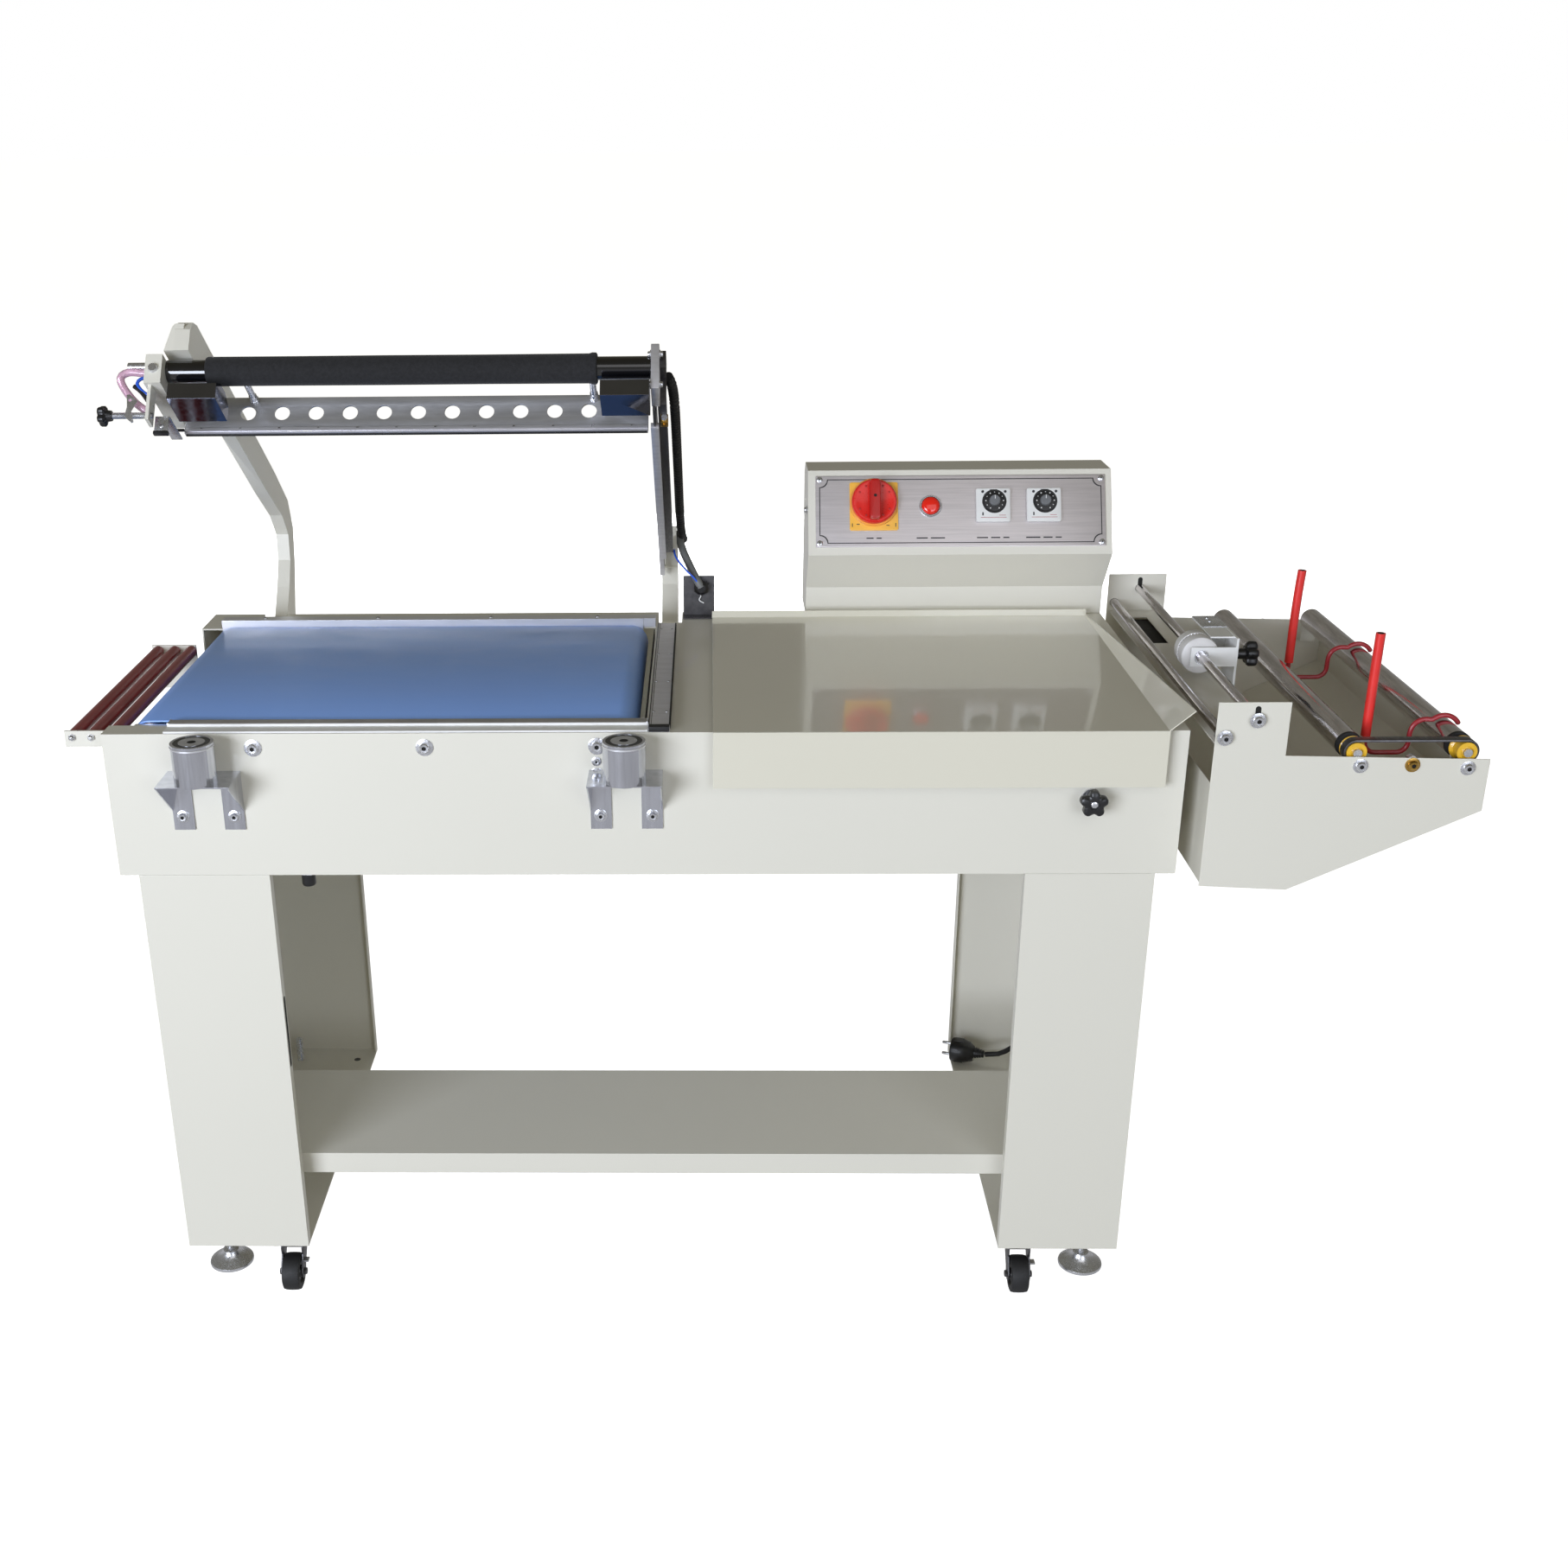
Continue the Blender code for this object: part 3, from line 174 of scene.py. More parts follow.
RUBBER = skin("black_rubber", tone(28, 28, 29), 0.62, (60, 0.25), (900, 0.25))
SHEATH = skin("cord_sheath", tone(22, 22, 23), 0.48, (90, 0.2), (1200, 0.15))
GREY_PLASTIC = skin("grey_plastic", tone(112, 114, 117), 0.4, (70, 0.08), (1100, 0.08))
CONDUIT = skin("grey_conduit", tone(112, 113, 112), 0.45, (80, 0.12), (600, 0.1))
WHITE = skin("white_plastic", tone(232, 232, 230), 0.38, (40, 0.03), (900, 0.04), coat=0.15)
NYLON = skin("nylon_wheel", tone(214, 212, 210), 0.42, (50, 0.05), (500, 0.06))
TAPE = skin("sealing_tape", tone(150, 146, 142), 0.38, (26, 0.1), (1300, 0.35), coat=0.15, stretch=(1, 2, 1))
SILICONE = skin("silicone_bar", tone(236, 236, 234), 0.45, (22, 0.03), (700, 0.06))
PINK = skin("pink_sleeve", tone(226, 186, 208), 0.22, (90, 0.14), (300, 0.1), coat=0.5, clear=0.35)
BLUE_WIRE = skin("blue_wire", tone(40, 92, 210), 0.35, (90, 0.08), (900, 0.06))
# Painted shade: a near-black finish laid in bolt sockets, screw slots, holes, slits and gaps, and on flat sheets that
# stand for the dark inside of openings.
HOLE_SHADE = skin("painted_hole_shade", tone(26, 25, 22), 0.8, (40, 0.2), (300, 0.1))
INK = skin("printed_ink", tone(58, 56, 58), 0.55, (60, 0.1), (900, 0.05))


# -------- mesh helpers
def facing(direction):
    """Turns local Z towards a direction: X, Y, Z, -X, -Y, -Z or a vector."""
    named = {"X": (1, 0, 0), "Y": (0, 1, 0), "Z": (0, 0, 1), "-X": (-1, 0, 0), "-Y": (0, -1, 0), "-Z": (0, 0, -1)}
    target = Vector(named.get(direction, direction) if isinstance(direction, str) else direction)
    return target.to_track_quat("Z", "X").to_matrix().to_4x4()


def smooth_path(guide, spacing):
    """Evenly read points along a smooth curve through the guide points."""
    knots = [Vector(p) for p in guide]
    out = []
    for i in range(len(knots) - 1):
        before, a, b = knots[max(i - 1, 0)], knots[i], knots[i + 1]
        after = knots[min(i + 2, len(knots) - 1)]
        count = max(1, round((b - a).length / spacing))
        for k in range(count):
            t = k / count
            out.append(0.5 * ((2 * a) + (b - before) * t + (2 * before - 5 * a + 4 * b - after) * t ** 2
                              + (3 * a - before - 3 * b + after) * t ** 3))
    out.append(knots[-1])
    return out


def arc(centre, radius, start, end, count):
    """Points along an arc, angles in degrees."""
    angles = [math.radians(start + (end - start) * i / count) for i in range(count + 1)]
    return [(centre[0] + radius * math.cos(a), centre[1] + radius * math.sin(a)) for a in angles]


def circle(centre, radius, count=32):
    return arc(centre, radius, 3, 363 - 360 / count, count - 1)


def rounded(x, y, radius, count=5):
    """A rectangle with round corners."""
    corners = ((x[1] - radius, y[1] - radius, 0), (x[0] + radius, y[1] - radius, 90), (x[0] + radius, y[0] + radius,
            180), (x[1] - radius, y[0] + radius, 270))
    return [p for cx, cy, a in corners for p in arc((cx, cy), radius, a, a + 90, count)]


PLANES = {"XY": Matrix.Identity(4), "XZ": Matrix(((1, 0, 0, 0), (0, 0, 1, 0), (0, 1, 0, 0), (0, 0, 0, 1))),
          "YZ": Matrix(((0, 0, 1, 0), (1, 0, 0, 0), (0, 1, 0, 0), (0, 0, 0, 1)))}


class Piece:
    """One visible piece, gathered from simple shapes in the coordinates of its base."""

    def __init__(self, name, *skins):
        self.name, self.skins, self.shape = name, skins, bmesh.new()

    def take(self, part, place, skin_index):
        for face in part.faces:
            face.material_index = skin_index
        bmesh.ops.transform(part, matrix=place, verts=part.verts)
        mesh = bpy.data.meshes.new("part")
        part.to_mesh(mesh)
        part.free()
        self.shape.from_mesh(mesh)
        bpy.data.meshes.remove(mesh)
        return self

    def lathe(self, profile, at=(0, 0, 0), axis="Z", steps=32, skin=0, lobes=None, hexagon=()):
        """(radius, height) pairs from the top down, spun; lobes = (count, depth, from radius)."""
        part, rings = bmesh.new(), []
        for index, (radius, height) in enumerate(profile):
            ring = []
            for k in range(steps if radius > 1e-6 else 1):
                angle, r = 2 * math.pi * k / steps, radius
                if lobes and radius >= lobes[2]:
                    r -= lobes[1] * (0.5 - 0.5 * math.cos(lobes[0] * angle)) ** 1.5
                if index in hexagon:
                    r *= math.cos(math.pi / 6) / math.cos(angle % (math.pi / 3) - math.pi / 6)
                ring.append(part.verts.new((r * math.cos(angle), r * math.sin(angle), height)))
            rings.append(ring)
        for a, b in zip(rings, rings[1:]):
            for k in range(steps):
                corners = [a[k % len(a)], a[(k + 1) % len(a)], b[(k + 1) % len(b)], b[k % len(b)]]
                corners = [c for i, c in enumerate(corners) if c not in corners[:i]]
                if len(corners) > 2:
                    part.faces.new(corners)
        return self.take(part, Matrix.Translation(at) @ facing(axis), skin)

    def box(self, x, y, z, skin=0, bevel=0.5):
        part = bmesh.new()
        bmesh.ops.create_cube(part, size=1.0)
        size = Vector((x[1] - x[0], y[1] - y[0], z[1] - z[0]))
        bmesh.ops.scale(part, vec=size, verts=part.verts)
        bevel = min(bevel, 0.4 * min(size))
        bmesh.ops.bevel(part, geom=list(part.edges), offset=bevel, segments=2, affect="EDGES", profile=0.6)
        centre = Vector((x[0] + x[1], y[0] + y[1], z[0] + z[1])) / 2
        return self.take(part, Matrix.Translation(centre), skin)

    def flat(self, outline, plane, span, skin=0, holes=(), bevel=0.4):
        """A filled outline in one plane, with holes, rounded edges and a thickness."""
        curve = bpy.data.curves.new("flat", "CURVE")
        curve.dimensions, curve.fill_mode = "2D", "BOTH"
        thick = abs(span[1] - span[0])
        bevel = min(bevel, 0.45 * thick)
        curve.extrude, curve.bevel_depth, curve.offset = thick / 2 - bevel, bevel, -bevel
        curve.bevel_resolution = 1
        for loop in (outline, *holes):
            spline = curve.splines.new("POLY")
            spline.points.add(len(loop) - 1)
            for point, (u, v) in zip(spline.points, loop):
                point.co = (u, v, 0.0, 1.0)
            spline.use_cyclic_u = True
        obj = bpy.data.objects.new("flat", curve)
        scene.collection.objects.link(obj)
        mesh = bpy.data.meshes.new_from_object(obj.evaluated_get(bpy.context.evaluated_depsgraph_get()))
        bpy.data.objects.remove(obj)
        part = bmesh.new()
        part.from_mesh(mesh)
        bpy.data.meshes.remove(mesh)
        bmesh.ops.remove_doubles(part, verts=part.verts, dist=0.005)
        middle = (span[0] + span[1]) / 2
        offset = {"XY": (0, 0, middle), "XZ": (0, middle, 0), "YZ": (middle, 0, 0)}[plane]
        return self.take(part, Matrix.Translation(offset) @ PLANES[plane], skin)

    def tube(self, points, radius, skin=0, steps=12):
        """A tube along points; radius is a number or a function of the share along it."""
        points = [Vector(p) for p in points]
        part, rings, last = bmesh.new(), [], None
        count = len(points)
        for i, point in enumerate(points):
            along = (points[min(i + 1, count - 1)] - points[max(i - 1, 0)]).normalized()
            if last is None:
                last = along.orthogonal().normalized()
            side = last = (last - along * last.dot(along)).normalized()
            other = along.cross(side)
            r = radius(i / (count - 1)) if callable(radius) else radius
            rings.append([part.verts.new(point + r * (math.cos(a) * side + math.sin(a) * other))
                          for a in (2 * math.pi * k / steps for k in range(steps))])
        for a, b in zip(rings, rings[1:]):
            for k in range(steps):
                j = (k + 1) % steps
                part.faces.new((a[k], a[j], b[j], b[k]))
        part.faces.new(rings[0])
        part.faces.new(rings[-1][::-1])
        return self.take(part, Matrix.Identity(4), skin)

    def bolt(self, at, axis, head=5.2, washer=8.5, height=4.2, skin=0, recess=1):
        """A socket button-head bolt on its washers."""
        self.lathe([(0, 1.2), (washer * 0.9, 1.2), (washer, 0.9), (washer, -0.2), (0, -0.2)], at, axis, 24, skin)
        top = 1.2 + height
        self.lathe([(head * 0.46, top - 0.2), (head * 0.8, top), (head * 0.96, top - 1),
                    (head, top - 2.2), (head, 1), (0, 1)], at, axis, 24, skin, hexagon=(0,))
        # The socket is drawn in the recess skin, which every caller gives the near-black painted shade.
        return self.lathe([(0, top - 2.2), (head * 0.47, top - 2.2), (head * 0.47, top - 0.1)],
                          at, axis, 24, recess, hexagon=(1, 2))

    def screw(self, at, axis, head=3.5, height=1.2, skin=0, recess=1):
        """A small pan-head screw with a crossed slot."""
        self.lathe([(0, height), (head * 0.6, height), (head, height * 0.45), (head, -0.2), (0, -0.2)],
                   at, axis, 20, skin)
        # The crossed slot is drawn in the recess skin, which every caller gives the near-black painted shade.
        return self.lathe([(0, height + 0.12), (head * 0.42, height + 0.12), (head * 0.42, height - 0.3)],
                          at, axis, 12, recess, lobes=(4, head * 0.3, 0.1))

    def done(self, body="machine_frame", base=SHOP, replaces=(), slot=None, angle=35.0, ride=True):
        bmesh.ops.scale(self.shape, vec=(MM, MM, MM), verts=self.shape.verts)
        bmesh.ops.recalc_face_normals(self.shape, faces=self.shape.faces)
        mesh = bpy.data.meshes.new(self.name)
        self.shape.to_mesh(mesh)
        self.shape.free()
        for one in self.skins:
            mesh.materials.append(one)
        mesh.shade_smooth()
        mesh.set_sharp_from_angle(angle=math.radians(angle))
        obj = bpy.data.objects.new(self.name, mesh)
        scene.collection.objects.link(obj)
        obj.matrix_world = base
        if ride:
            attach(obj, body)
        if replaces:
            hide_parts(*replaces)
        return obj


def dress(material, *names, bevel=0.0007):
    """Gives CAD nodes a finish and softly rounded edges."""
    for name in names:
        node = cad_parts[name]
        if not node.material_slots:
            node.data.materials.append(material)
        for slot in node.material_slots:
            slot.material = material
        weld = node.modifiers.new("weld", "WELD")
        weld.merge_threshold = 0.00002
        if bevel:
            edge = node.modifiers.new("edges", "BEVEL")
            edge.width, edge.segments, edge.limit_method = bevel, 2, "ANGLE"
            edge.angle_limit = math.radians(38)
            edge.harden_normals = True
            edge.use_clamp_overlap = True


# -------- mains cord, coil and plug
CORD_DROP = [(1.19, 0.3, 0.5852), (1.19, 0.3, 0.562), (1.192, 0.299, 0.52), (1.198, 0.296, 0.47), (1.203,
        0.288, 0.42), (1.2045, 0.2838, 0.3775)]
CORD_TAIL = [(1.243, 0.3625, 0.299), (1.243, 0.3795, 0.2941), (1.2425, 0.3923, 0.2812), (1.2415, 0.3975, 0.264),
             (1.2375, 0.4, 0.23), (1.223, 0.417, 0.185), (1.202, 0.44, 0.147), (1.184, 0.458, 0.115), (1.166, 0.4705,
        0.0965), (1.147, 0.478, 0.0912)]
COIL_CENTRE, COIL_RADIUS, COIL_TURNS = (0.33, 0.345), 0.0459, 4.25
CORD_RADIUS = 0.004


def make_cord():
    coil, steps = [], 102
    for i in range(steps + 1):
        share = i / steps
        angle = math.pi + 2 * math.pi * COIL_TURNS * share
        coil.append(Vector((1.2045 + 0.0385 * share, COIL_CENTRE[0] + COIL_RADIUS * math.cos(angle),
                            COIL_CENTRE[1] + COIL_RADIUS * math.sin(angle))))
    route = smooth_path(CORD_DROP, 0.018) + coil + smooth_path(CORD_TAIL, 0.018)
    curve = bpy.data.curves.new("mains_cord_line", "CURVE")
    curve.dimensions, curve.bevel_depth, curve.bevel_resolution = "3D", CORD_RADIUS, 3
    curve.use_fill_caps = True
    spline = curve.splines.new("POLY")
    spline.points.add(len(route) - 1)
    for target, point in zip(spline.points, route):
        target.co = (*(SHOP @ point), 1.0)
    spline.use_smooth = True
    curve.materials.append(SHEATH)
    cord = bpy.data.objects.new("mains_cord_line", curve)
    scene.collection.objects.link(cord)
    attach(cord, "machine_frame")
    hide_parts("mains_cord", "mains_cord_tail", "mains_cord_coil")

    relief = Piece("cord_strain_relief", BLACK)
    relief.lathe([(0, 0), (15, 0), (15, -7), (13.5, -9), (13.5, -16), (11.8, -19), (10.5, -26.2), (8.2, -27.5),
                  (7.8, -31), (7, -31.5), (6.8, -35), (6.1, -35.5), (5.9, -39), (5.3, -39.5), (5.1, -44),
                  (4.2, -44.5)], (1190, 300, 609.3), "Z", 36, hexagon=(1, 2))
    relief = relief.done(slot="black_plastic")

    ties = Piece("coil_ties", BLACK)
    for side in (-1, 1):
        y = (COIL_CENTRE[0] + side * COIL_RADIUS) / MM
        ties.flat(rounded((1198.8, 1248.7), (y - 5.7, y + 5.7), 4), "XY", (329, 335), holes=[rounded((1199.7, 1247.8),
                (y - 4.8, y + 4.8), 3.6)[::-1]], bevel=0.2)
    ties = ties.done(slot="black_plastic")

    plug = Piece("moulded_plug", BLACK, ZINC)
    collar = [(0, 30), (5, 30)]
    for rib in range(4):
        z = 29 - 3.6 * rib
        collar += [(5.8 + 0.9 * rib, z), (6 + 0.9 * rib, z - 2.2), (5.2 + 0.9 * rib, z - 2.6), (5.2 + 0.9 * rib,
                z - 3.4)]
    plug.lathe(collar + [(10.5, 13), (15.5, 6.5), (17.8, 0), (18.5, -6), (18.5, -19), (17.6, -21.5), (0, -21.5)],
               steps=40)
    for side in (-1, 1):
        plug.lathe([(0, -21), (2.4, -21), (2.4, -35), (1.5, -36.5), (0, -36.5)], (side * 9.5, 0, 0), steps=16, skin=1)
        plug.box((side * 17.6 - 1.2, side * 17.6 + 1.2), (-6, 6), (-17, -3))
    direction = Vector((0.94, -0.34, 0.0)).normalized()
    place = Matrix.Translation(SHOP @ Vector(CORD_TAIL[-1]) - direction * 0.0318) @ facing(direction)
    plug = plug.done(base=place, replaces=["mains_plug"], slot="black_plastic")


make_cord()

# -------- finishes of the CAD nodes that stay
dress(PAINT, "cabinet", "leg_left", "leg_right", "shelf", "control_box", "tray_front", "tray_rear", "tray_floor",
      "arm_left", "arm_right", bevel=0.0009)
dress(TABLE_PAINT, "packing_table", bevel=0.0006)
dress(STAINLESS, "conveyor_bed", bevel=0.0004)
dress(MAGNET, "magnet_left", "magnet_right", bevel=0.0004)
dress(ALUMINIUM, "side_seal_pad", bevel=0.0005)
dress(SILICONE, "front_seal_pad", bevel=0.0006)
dress(MIRROR, "armature_left", "armature_right", bevel=0.0006)
dress(CHROME, "guide_rod", "punch_rod", "pivot_shaft", "drive_roller", "idler_roller", bevel=0.0)
dress(WHITE, "punch_carriage", bevel=0.0004)
dress(DARK_STEEL, "gland_bracket", bevel=0.0005)


# -------- conveyor
def stadium(x0, x1, z, radius, count=32):
    return arc((x0, z), radius, 90, 270, count) + arc((x1, z), radius, -90, 90, count)


def make_conveyor():
    belt = Piece("conveyor_belt_cover", BELT)
    belt.flat(stadium(46.5, 607, 769.5, 24.5), "XZ", (40, 448), holes=[stadium(46.5, 607, 769.5, 22.5)], bevel=0.3)
    belt.done(replaces=["conveyor_belt"], slot="blue_belt", angle=40)
    for index, x in enumerate((-45, -22, 1), start=1):
        roller = Piece(f"discharge_sleeve_{index}", DARK_RED, ZINC)
        roller.lathe([(3, 178.5), (6.8, 178.5), (7.75, 177.7), (7.75, -177.7), (6.8, -178.5), (3, -178.5)], (x, 211,
                777), "Y", 32)
        roller.lathe([(0, 181.2), (2.6, 181.2), (3, 180.8), (3, -180.8), (2.6, -181.2), (0, -181.2)], (x, 211, 777),
                     "Y", 16, skin=1)
        roller.done(f"discharge_roller_{index}", replaces=[f"discharge_roller_{index}"], slot="dark_red_sleeve")
    fittings = Piece("conveyor_fittings", ZINC, HOLE_SHADE)
    for x in (-45, -22, 1):
        fittings.lathe([(0, 5.2), (1.8, 5), (3.4, 3.4), (3.6, 2.4), (4.4, 2.4), (4.4, 0), (0, 0)], (x, 29.2, 777),
                       "-Y", 18, hexagon=(4, 5))
        fittings.lathe([(0, 4), (3, 3.4), (4, 2.2), (4.4, 0), (0, 0)], (x, 392.9, 777), "Y", 18)
    for x in (90, 250, 410, 560):
        fittings.screw((x, 470, 796.5), "Y")
        fittings.screw((x, 460.7, 803.4), "Z", 3.2)
    fittings.done()

    seals = Piece("lower_seal_trim", TAPE, RUBBER, DARK_STEEL, ZINC, HOLE_SHADE)
    seals.box((74.8, 644.2), (19.3, 34), (796.3, 797), 0, 0.2)
    seals.box((74, 76.5), (19, 34.2), (792, 797.4), 3)
    seals.box((642.5, 645), (19, 34.2), (792, 797.4), 3)
    seals.box((648.2, 648.9), (12.5, 449), (796, 796.7), 2, 0.2)
    # A near-black strip in the gap between the belt's end and the side bar: painted shade, not a part.
    seals.box((639.6, 640.8), (30, 448), (725, 788), 4, 0.3)
    seals.box((645.3, 646.6), (12, 449), (791.2, 797.4), 2)
    # A near-black strip along the side bar's right edge: painted shadow of the slot there.
    seals.box((669.4, 671.4), (12, 449), (791.2, 797.4), 4)
    seals.box((645.7, 670.3), (0.1, 12), (791, 797.2), 1, 1)
    for y in (60, 180, 300, 420):
        for x in (650, 666):
            seals.screw((x, y, 796.4), "Z", 2.2, 0.6, 3, 4)
    seals.done()


make_conveyor()


# -------- cabinet hardware
def make_hardware():
    panel = Piece("front_panel_bolts", ZINC, HOLE_SHADE)
    for x, z, size in ((179, 773, 1.0), (382, 773, 1.0), (585, 774, 1.0), (584, 737, 0.95), (584, 755, 0.55)):
        panel.bolt((x, 0, z), "-Y", 6.2 * size, 10.5 * size, 4.6 * size)
    panel.done()
    for name, x in (("left", 118), ("right", 618.5)):
        trim = Piece(f"magnet_trim_{name}", BLACK, ZINC, HOLE_SHADE, STAINLESS)
        trim.lathe([(15.7, 0), (15.7, 1.7), (21.3, 1.7), (21.3, 0)], (x, -36, 791.4), "Z", 40)
        # A near-black disc over the magnet's centre hole: painted shade.
        trim.lathe([(0, 0.3), (4, 0.3), (5.2, 0), (0, 0)], (x, -36, 793.5), "Z", 24, 2)
        trim.lathe([(25, 0.6), (25.6, 0.2), (25.6, -1.6), (25, -2)], (x, -36, 790), "Z", 40, 3)
        trim.bolt((x, -36, 742.4), "-Z", 4.8, 8, 4, 1, 2)
        for side in (-1, 1):
            trim.bolt((x + side * 31, -2, 687), "-Y", 5, 7.8, 3.8, 1, 2)
        trim.done()
    under = Piece("cabinet_underside_sensor", BLACK, ZINC)
    under.lathe([(0, 0), (8.5, 0), (8.5, -18), (7.5, -20), (0, -20)], (226, 18, 609.3), "Z", 28)
    under.lathe([(0, 0), (12.5, 0), (12.5, -3.5), (0, -3.5)], (226, 18, 609.3), "Z", 24, 1, hexagon=(1, 2))
    under.done()
    # A near-black sheet on the left leg's inner flange stands for a slit's dark inside: painted shade.
    slit = Piece("leg_slit_painted_shade", HOLE_SHADE)
    slit.flat(rounded((4, 10.5), (340, 440), 3), "YZ", (182.6, 183.2))
    slit.done()
    back = Piece("rear_access_panels", PAINT, ZINC, HOLE_SHADE)
    for low, high in ((135, 615), (745, 1235)):
        back.flat(rounded((low, high), (630, 772), 6), "XZ", (529.6, 531.2))
        for x in (low + 12, (low + high) / 2, high - 12):
            for z in (640, 762):
                back.screw((x, 531.2, z), "Y", 4, 1.4, 1, 2)
    # The vent slots are near-black flat strips on the panels: painted shade for the openings.
    for row in range(6):
        back.flat(rounded((1060, 1160), (660 + 12 * row, 664.5 + 12 * row), 2.2), "XZ", (530.8, 531.6), 2)
        back.flat(rounded((1000, 1120), (850 + 13 * row, 855 + 13 * row), 2.4), "XZ", (599.6, 600.4), 2)
    for x in (868, 1262):
        for z in (806, 962):
            back.screw((x, 600, z), "Y", 4, 1.4, 1, 2)
    back.done()
    joints = Piece("leg_fixings", ZINC, HOLE_SHADE)
    for x in (22.9, 1251.1):
        direction = "-X" if x < 500 else "X"
        for y in (70, 460):
            joints.bolt((x, y, 180), direction, 5, 7.8)
            joints.bolt((x, y, 585), direction, 5, 7.8)
    for y in (110, 420):
        joints.bolt((1275, y, 680), "X", 5, 8)
    joints.done()


make_hardware()


# -------- sealing head
def make_head():
    y, z = -40, 845.5
    grip = Piece("handle_with_grip", FOAM, TUBE_BLACK, ZINC)
    grip.lathe([(13.7, 585), (16.4, 585), (18.4, 583.8), (18.6, 579), (17.4, 575),
                (17.1, 450), (17.3, 330), (17.1, 220), (17.2, 120), (16.3, 118.2), (13.7, 118)], (0, y, z), "X", 48)
    grip.lathe([(0, 648.7), (13.4, 648.7), (13.8, 648.2), (13.8, 70.8), (13.4, 70.3), (0, 70.3)], (0, y, z), "X", 48,
               1)
    grip.lathe([(0, 50.5), (5.6, 50.5), (5.6, 22.2), (5, 21.6), (3, 21.6), (3, 26), (0, 26)], (0, y, 852), "X", 28, 2)
    grip.done("sealing_head", base=HEAD, replaces=["handle"], slot="black_foam")

    front = Piece("front_sealing_beam", BEAM, ALUMINIUM, RUBBER, ZINC, HOLE_SHADE)
    holes = [circle((150.5 + 42 * i, 827.5), 9.5, 36) for i in range(11)]
    front.flat([(74, 800.5), (643.5, 800.5), (643.5, 849), (74, 849)], "XZ", (27.6, 30.6), holes=holes, bevel=0.3)
    front.box((74.5, 643), (24.6, 33.1), (799, 806.5), 1)
    front.box((75, 642.5), (23.6, 25), (801, 804.5), 1, 0.3)
    front.box((76, 642), (27, 30.6), (797.7, 799.5), 2, 0.3)
    for i in range(12):
        front.screw((95 + 48 * i, 24.6, 805.2), "-Y", 1.7, 0.5, 3, 4)
    for x in (158, 577):
        front.lathe([(0, 56), (4, 56), (4, 0), (0, 0)], (x, -28, 844), "Y", 20, 3)
        front.lathe([(0, 12.5), (6.2, 12.5), (6.2, 7), (5, 6.5), (5, 0), (0, 0)],
                    (x, 15, 844), "Y", 20, 3, hexagon=(1, 2))
    front.done("sealing_head", base=HEAD, replaces=["seal_beam_front"], slot="brushed_steel")

    side = Piece("side_sealing_beam", DARK_STEEL, ALUMINIUM, BRASS, ZINC, HOLE_SHADE)
    web = ([(-20, 800.5), (455, 800.5), (455, 815), (290, 816), (276, 819)]
           + arc((250, 837), 12, -20, 90, 6) + [(-20, 849)])
    holes = [circle((70 + 42 * i, 830), 8.5, 32) for i in range(5)]
    side.flat(web, "YZ", (650, 653), holes=holes, bevel=0.3)
    side.box((646.5, 656.5), (20, 399.5), (798.6, 806.2), 1)
    side.box((646.5, 653), (399, 455), (798.6, 806.2), 1)
    side.flat([(656, 808.5), (666, 808.5), (666, 832), (664.5, 832), (664.5, 810), (656, 810)], "XZ", (-18, 398), 0,
              bevel=0.3)
    side.box((652.5, 666.5), (-19.5, -16.5), (808.5, 844), 0, 0.6)
    side.box((649, 659), (-62, -18.5), (806, 865), 1, 1)
    side.box((658.6, 666.5), (-46, -16), (843, 865), 0, 0.6)
    side.box((658.5, 668), (8, 20), (800, 811), 2, 0.8)
    side.lathe([(0, 4), (3.4, 4), (4, 3), (4, 0), (0, 0)], (663.3, 8.5, 805.5), "-Y", 16, 3)
    side.lathe([(0, 1.8), (2.6, 1.8), (2.6, 0), (0, 0)], (663.3, 14, 800), "-Z", 16, 2)
    for z_bolt in (816, 856):
        side.bolt((659, -53, z_bolt), "X", 3.6, 5.2, 3, 3, 4)
        side.bolt((649, -53, z_bolt), "-X", 3.6, 5.2, 3, 3, 4)
    for i in range(7):
        side.screw((653.1, 40 + 33 * i, 812.5), "X", 2.2, 0.8, 3, 4)
    side.done("sealing_head", base=HEAD, replaces=["seal_beam_side"], slot="brushed_steel")

    loom = Piece("head_wire_loom", RUBBER)
    line = smooth_path([(668, -12, 850), (672.5, 10, 850), (675, 60, 847), (676, 200, 843), (676.5, 330, 840), (678,
            398, 840), (680, 440, 849)], 1.6)
    loom.tube(line, lambda t: 5.8 + 0.6 * math.cos(t * len(line) * math.pi / 2), steps=14)
    loom.done("sealing_head", base=HEAD, angle=80)

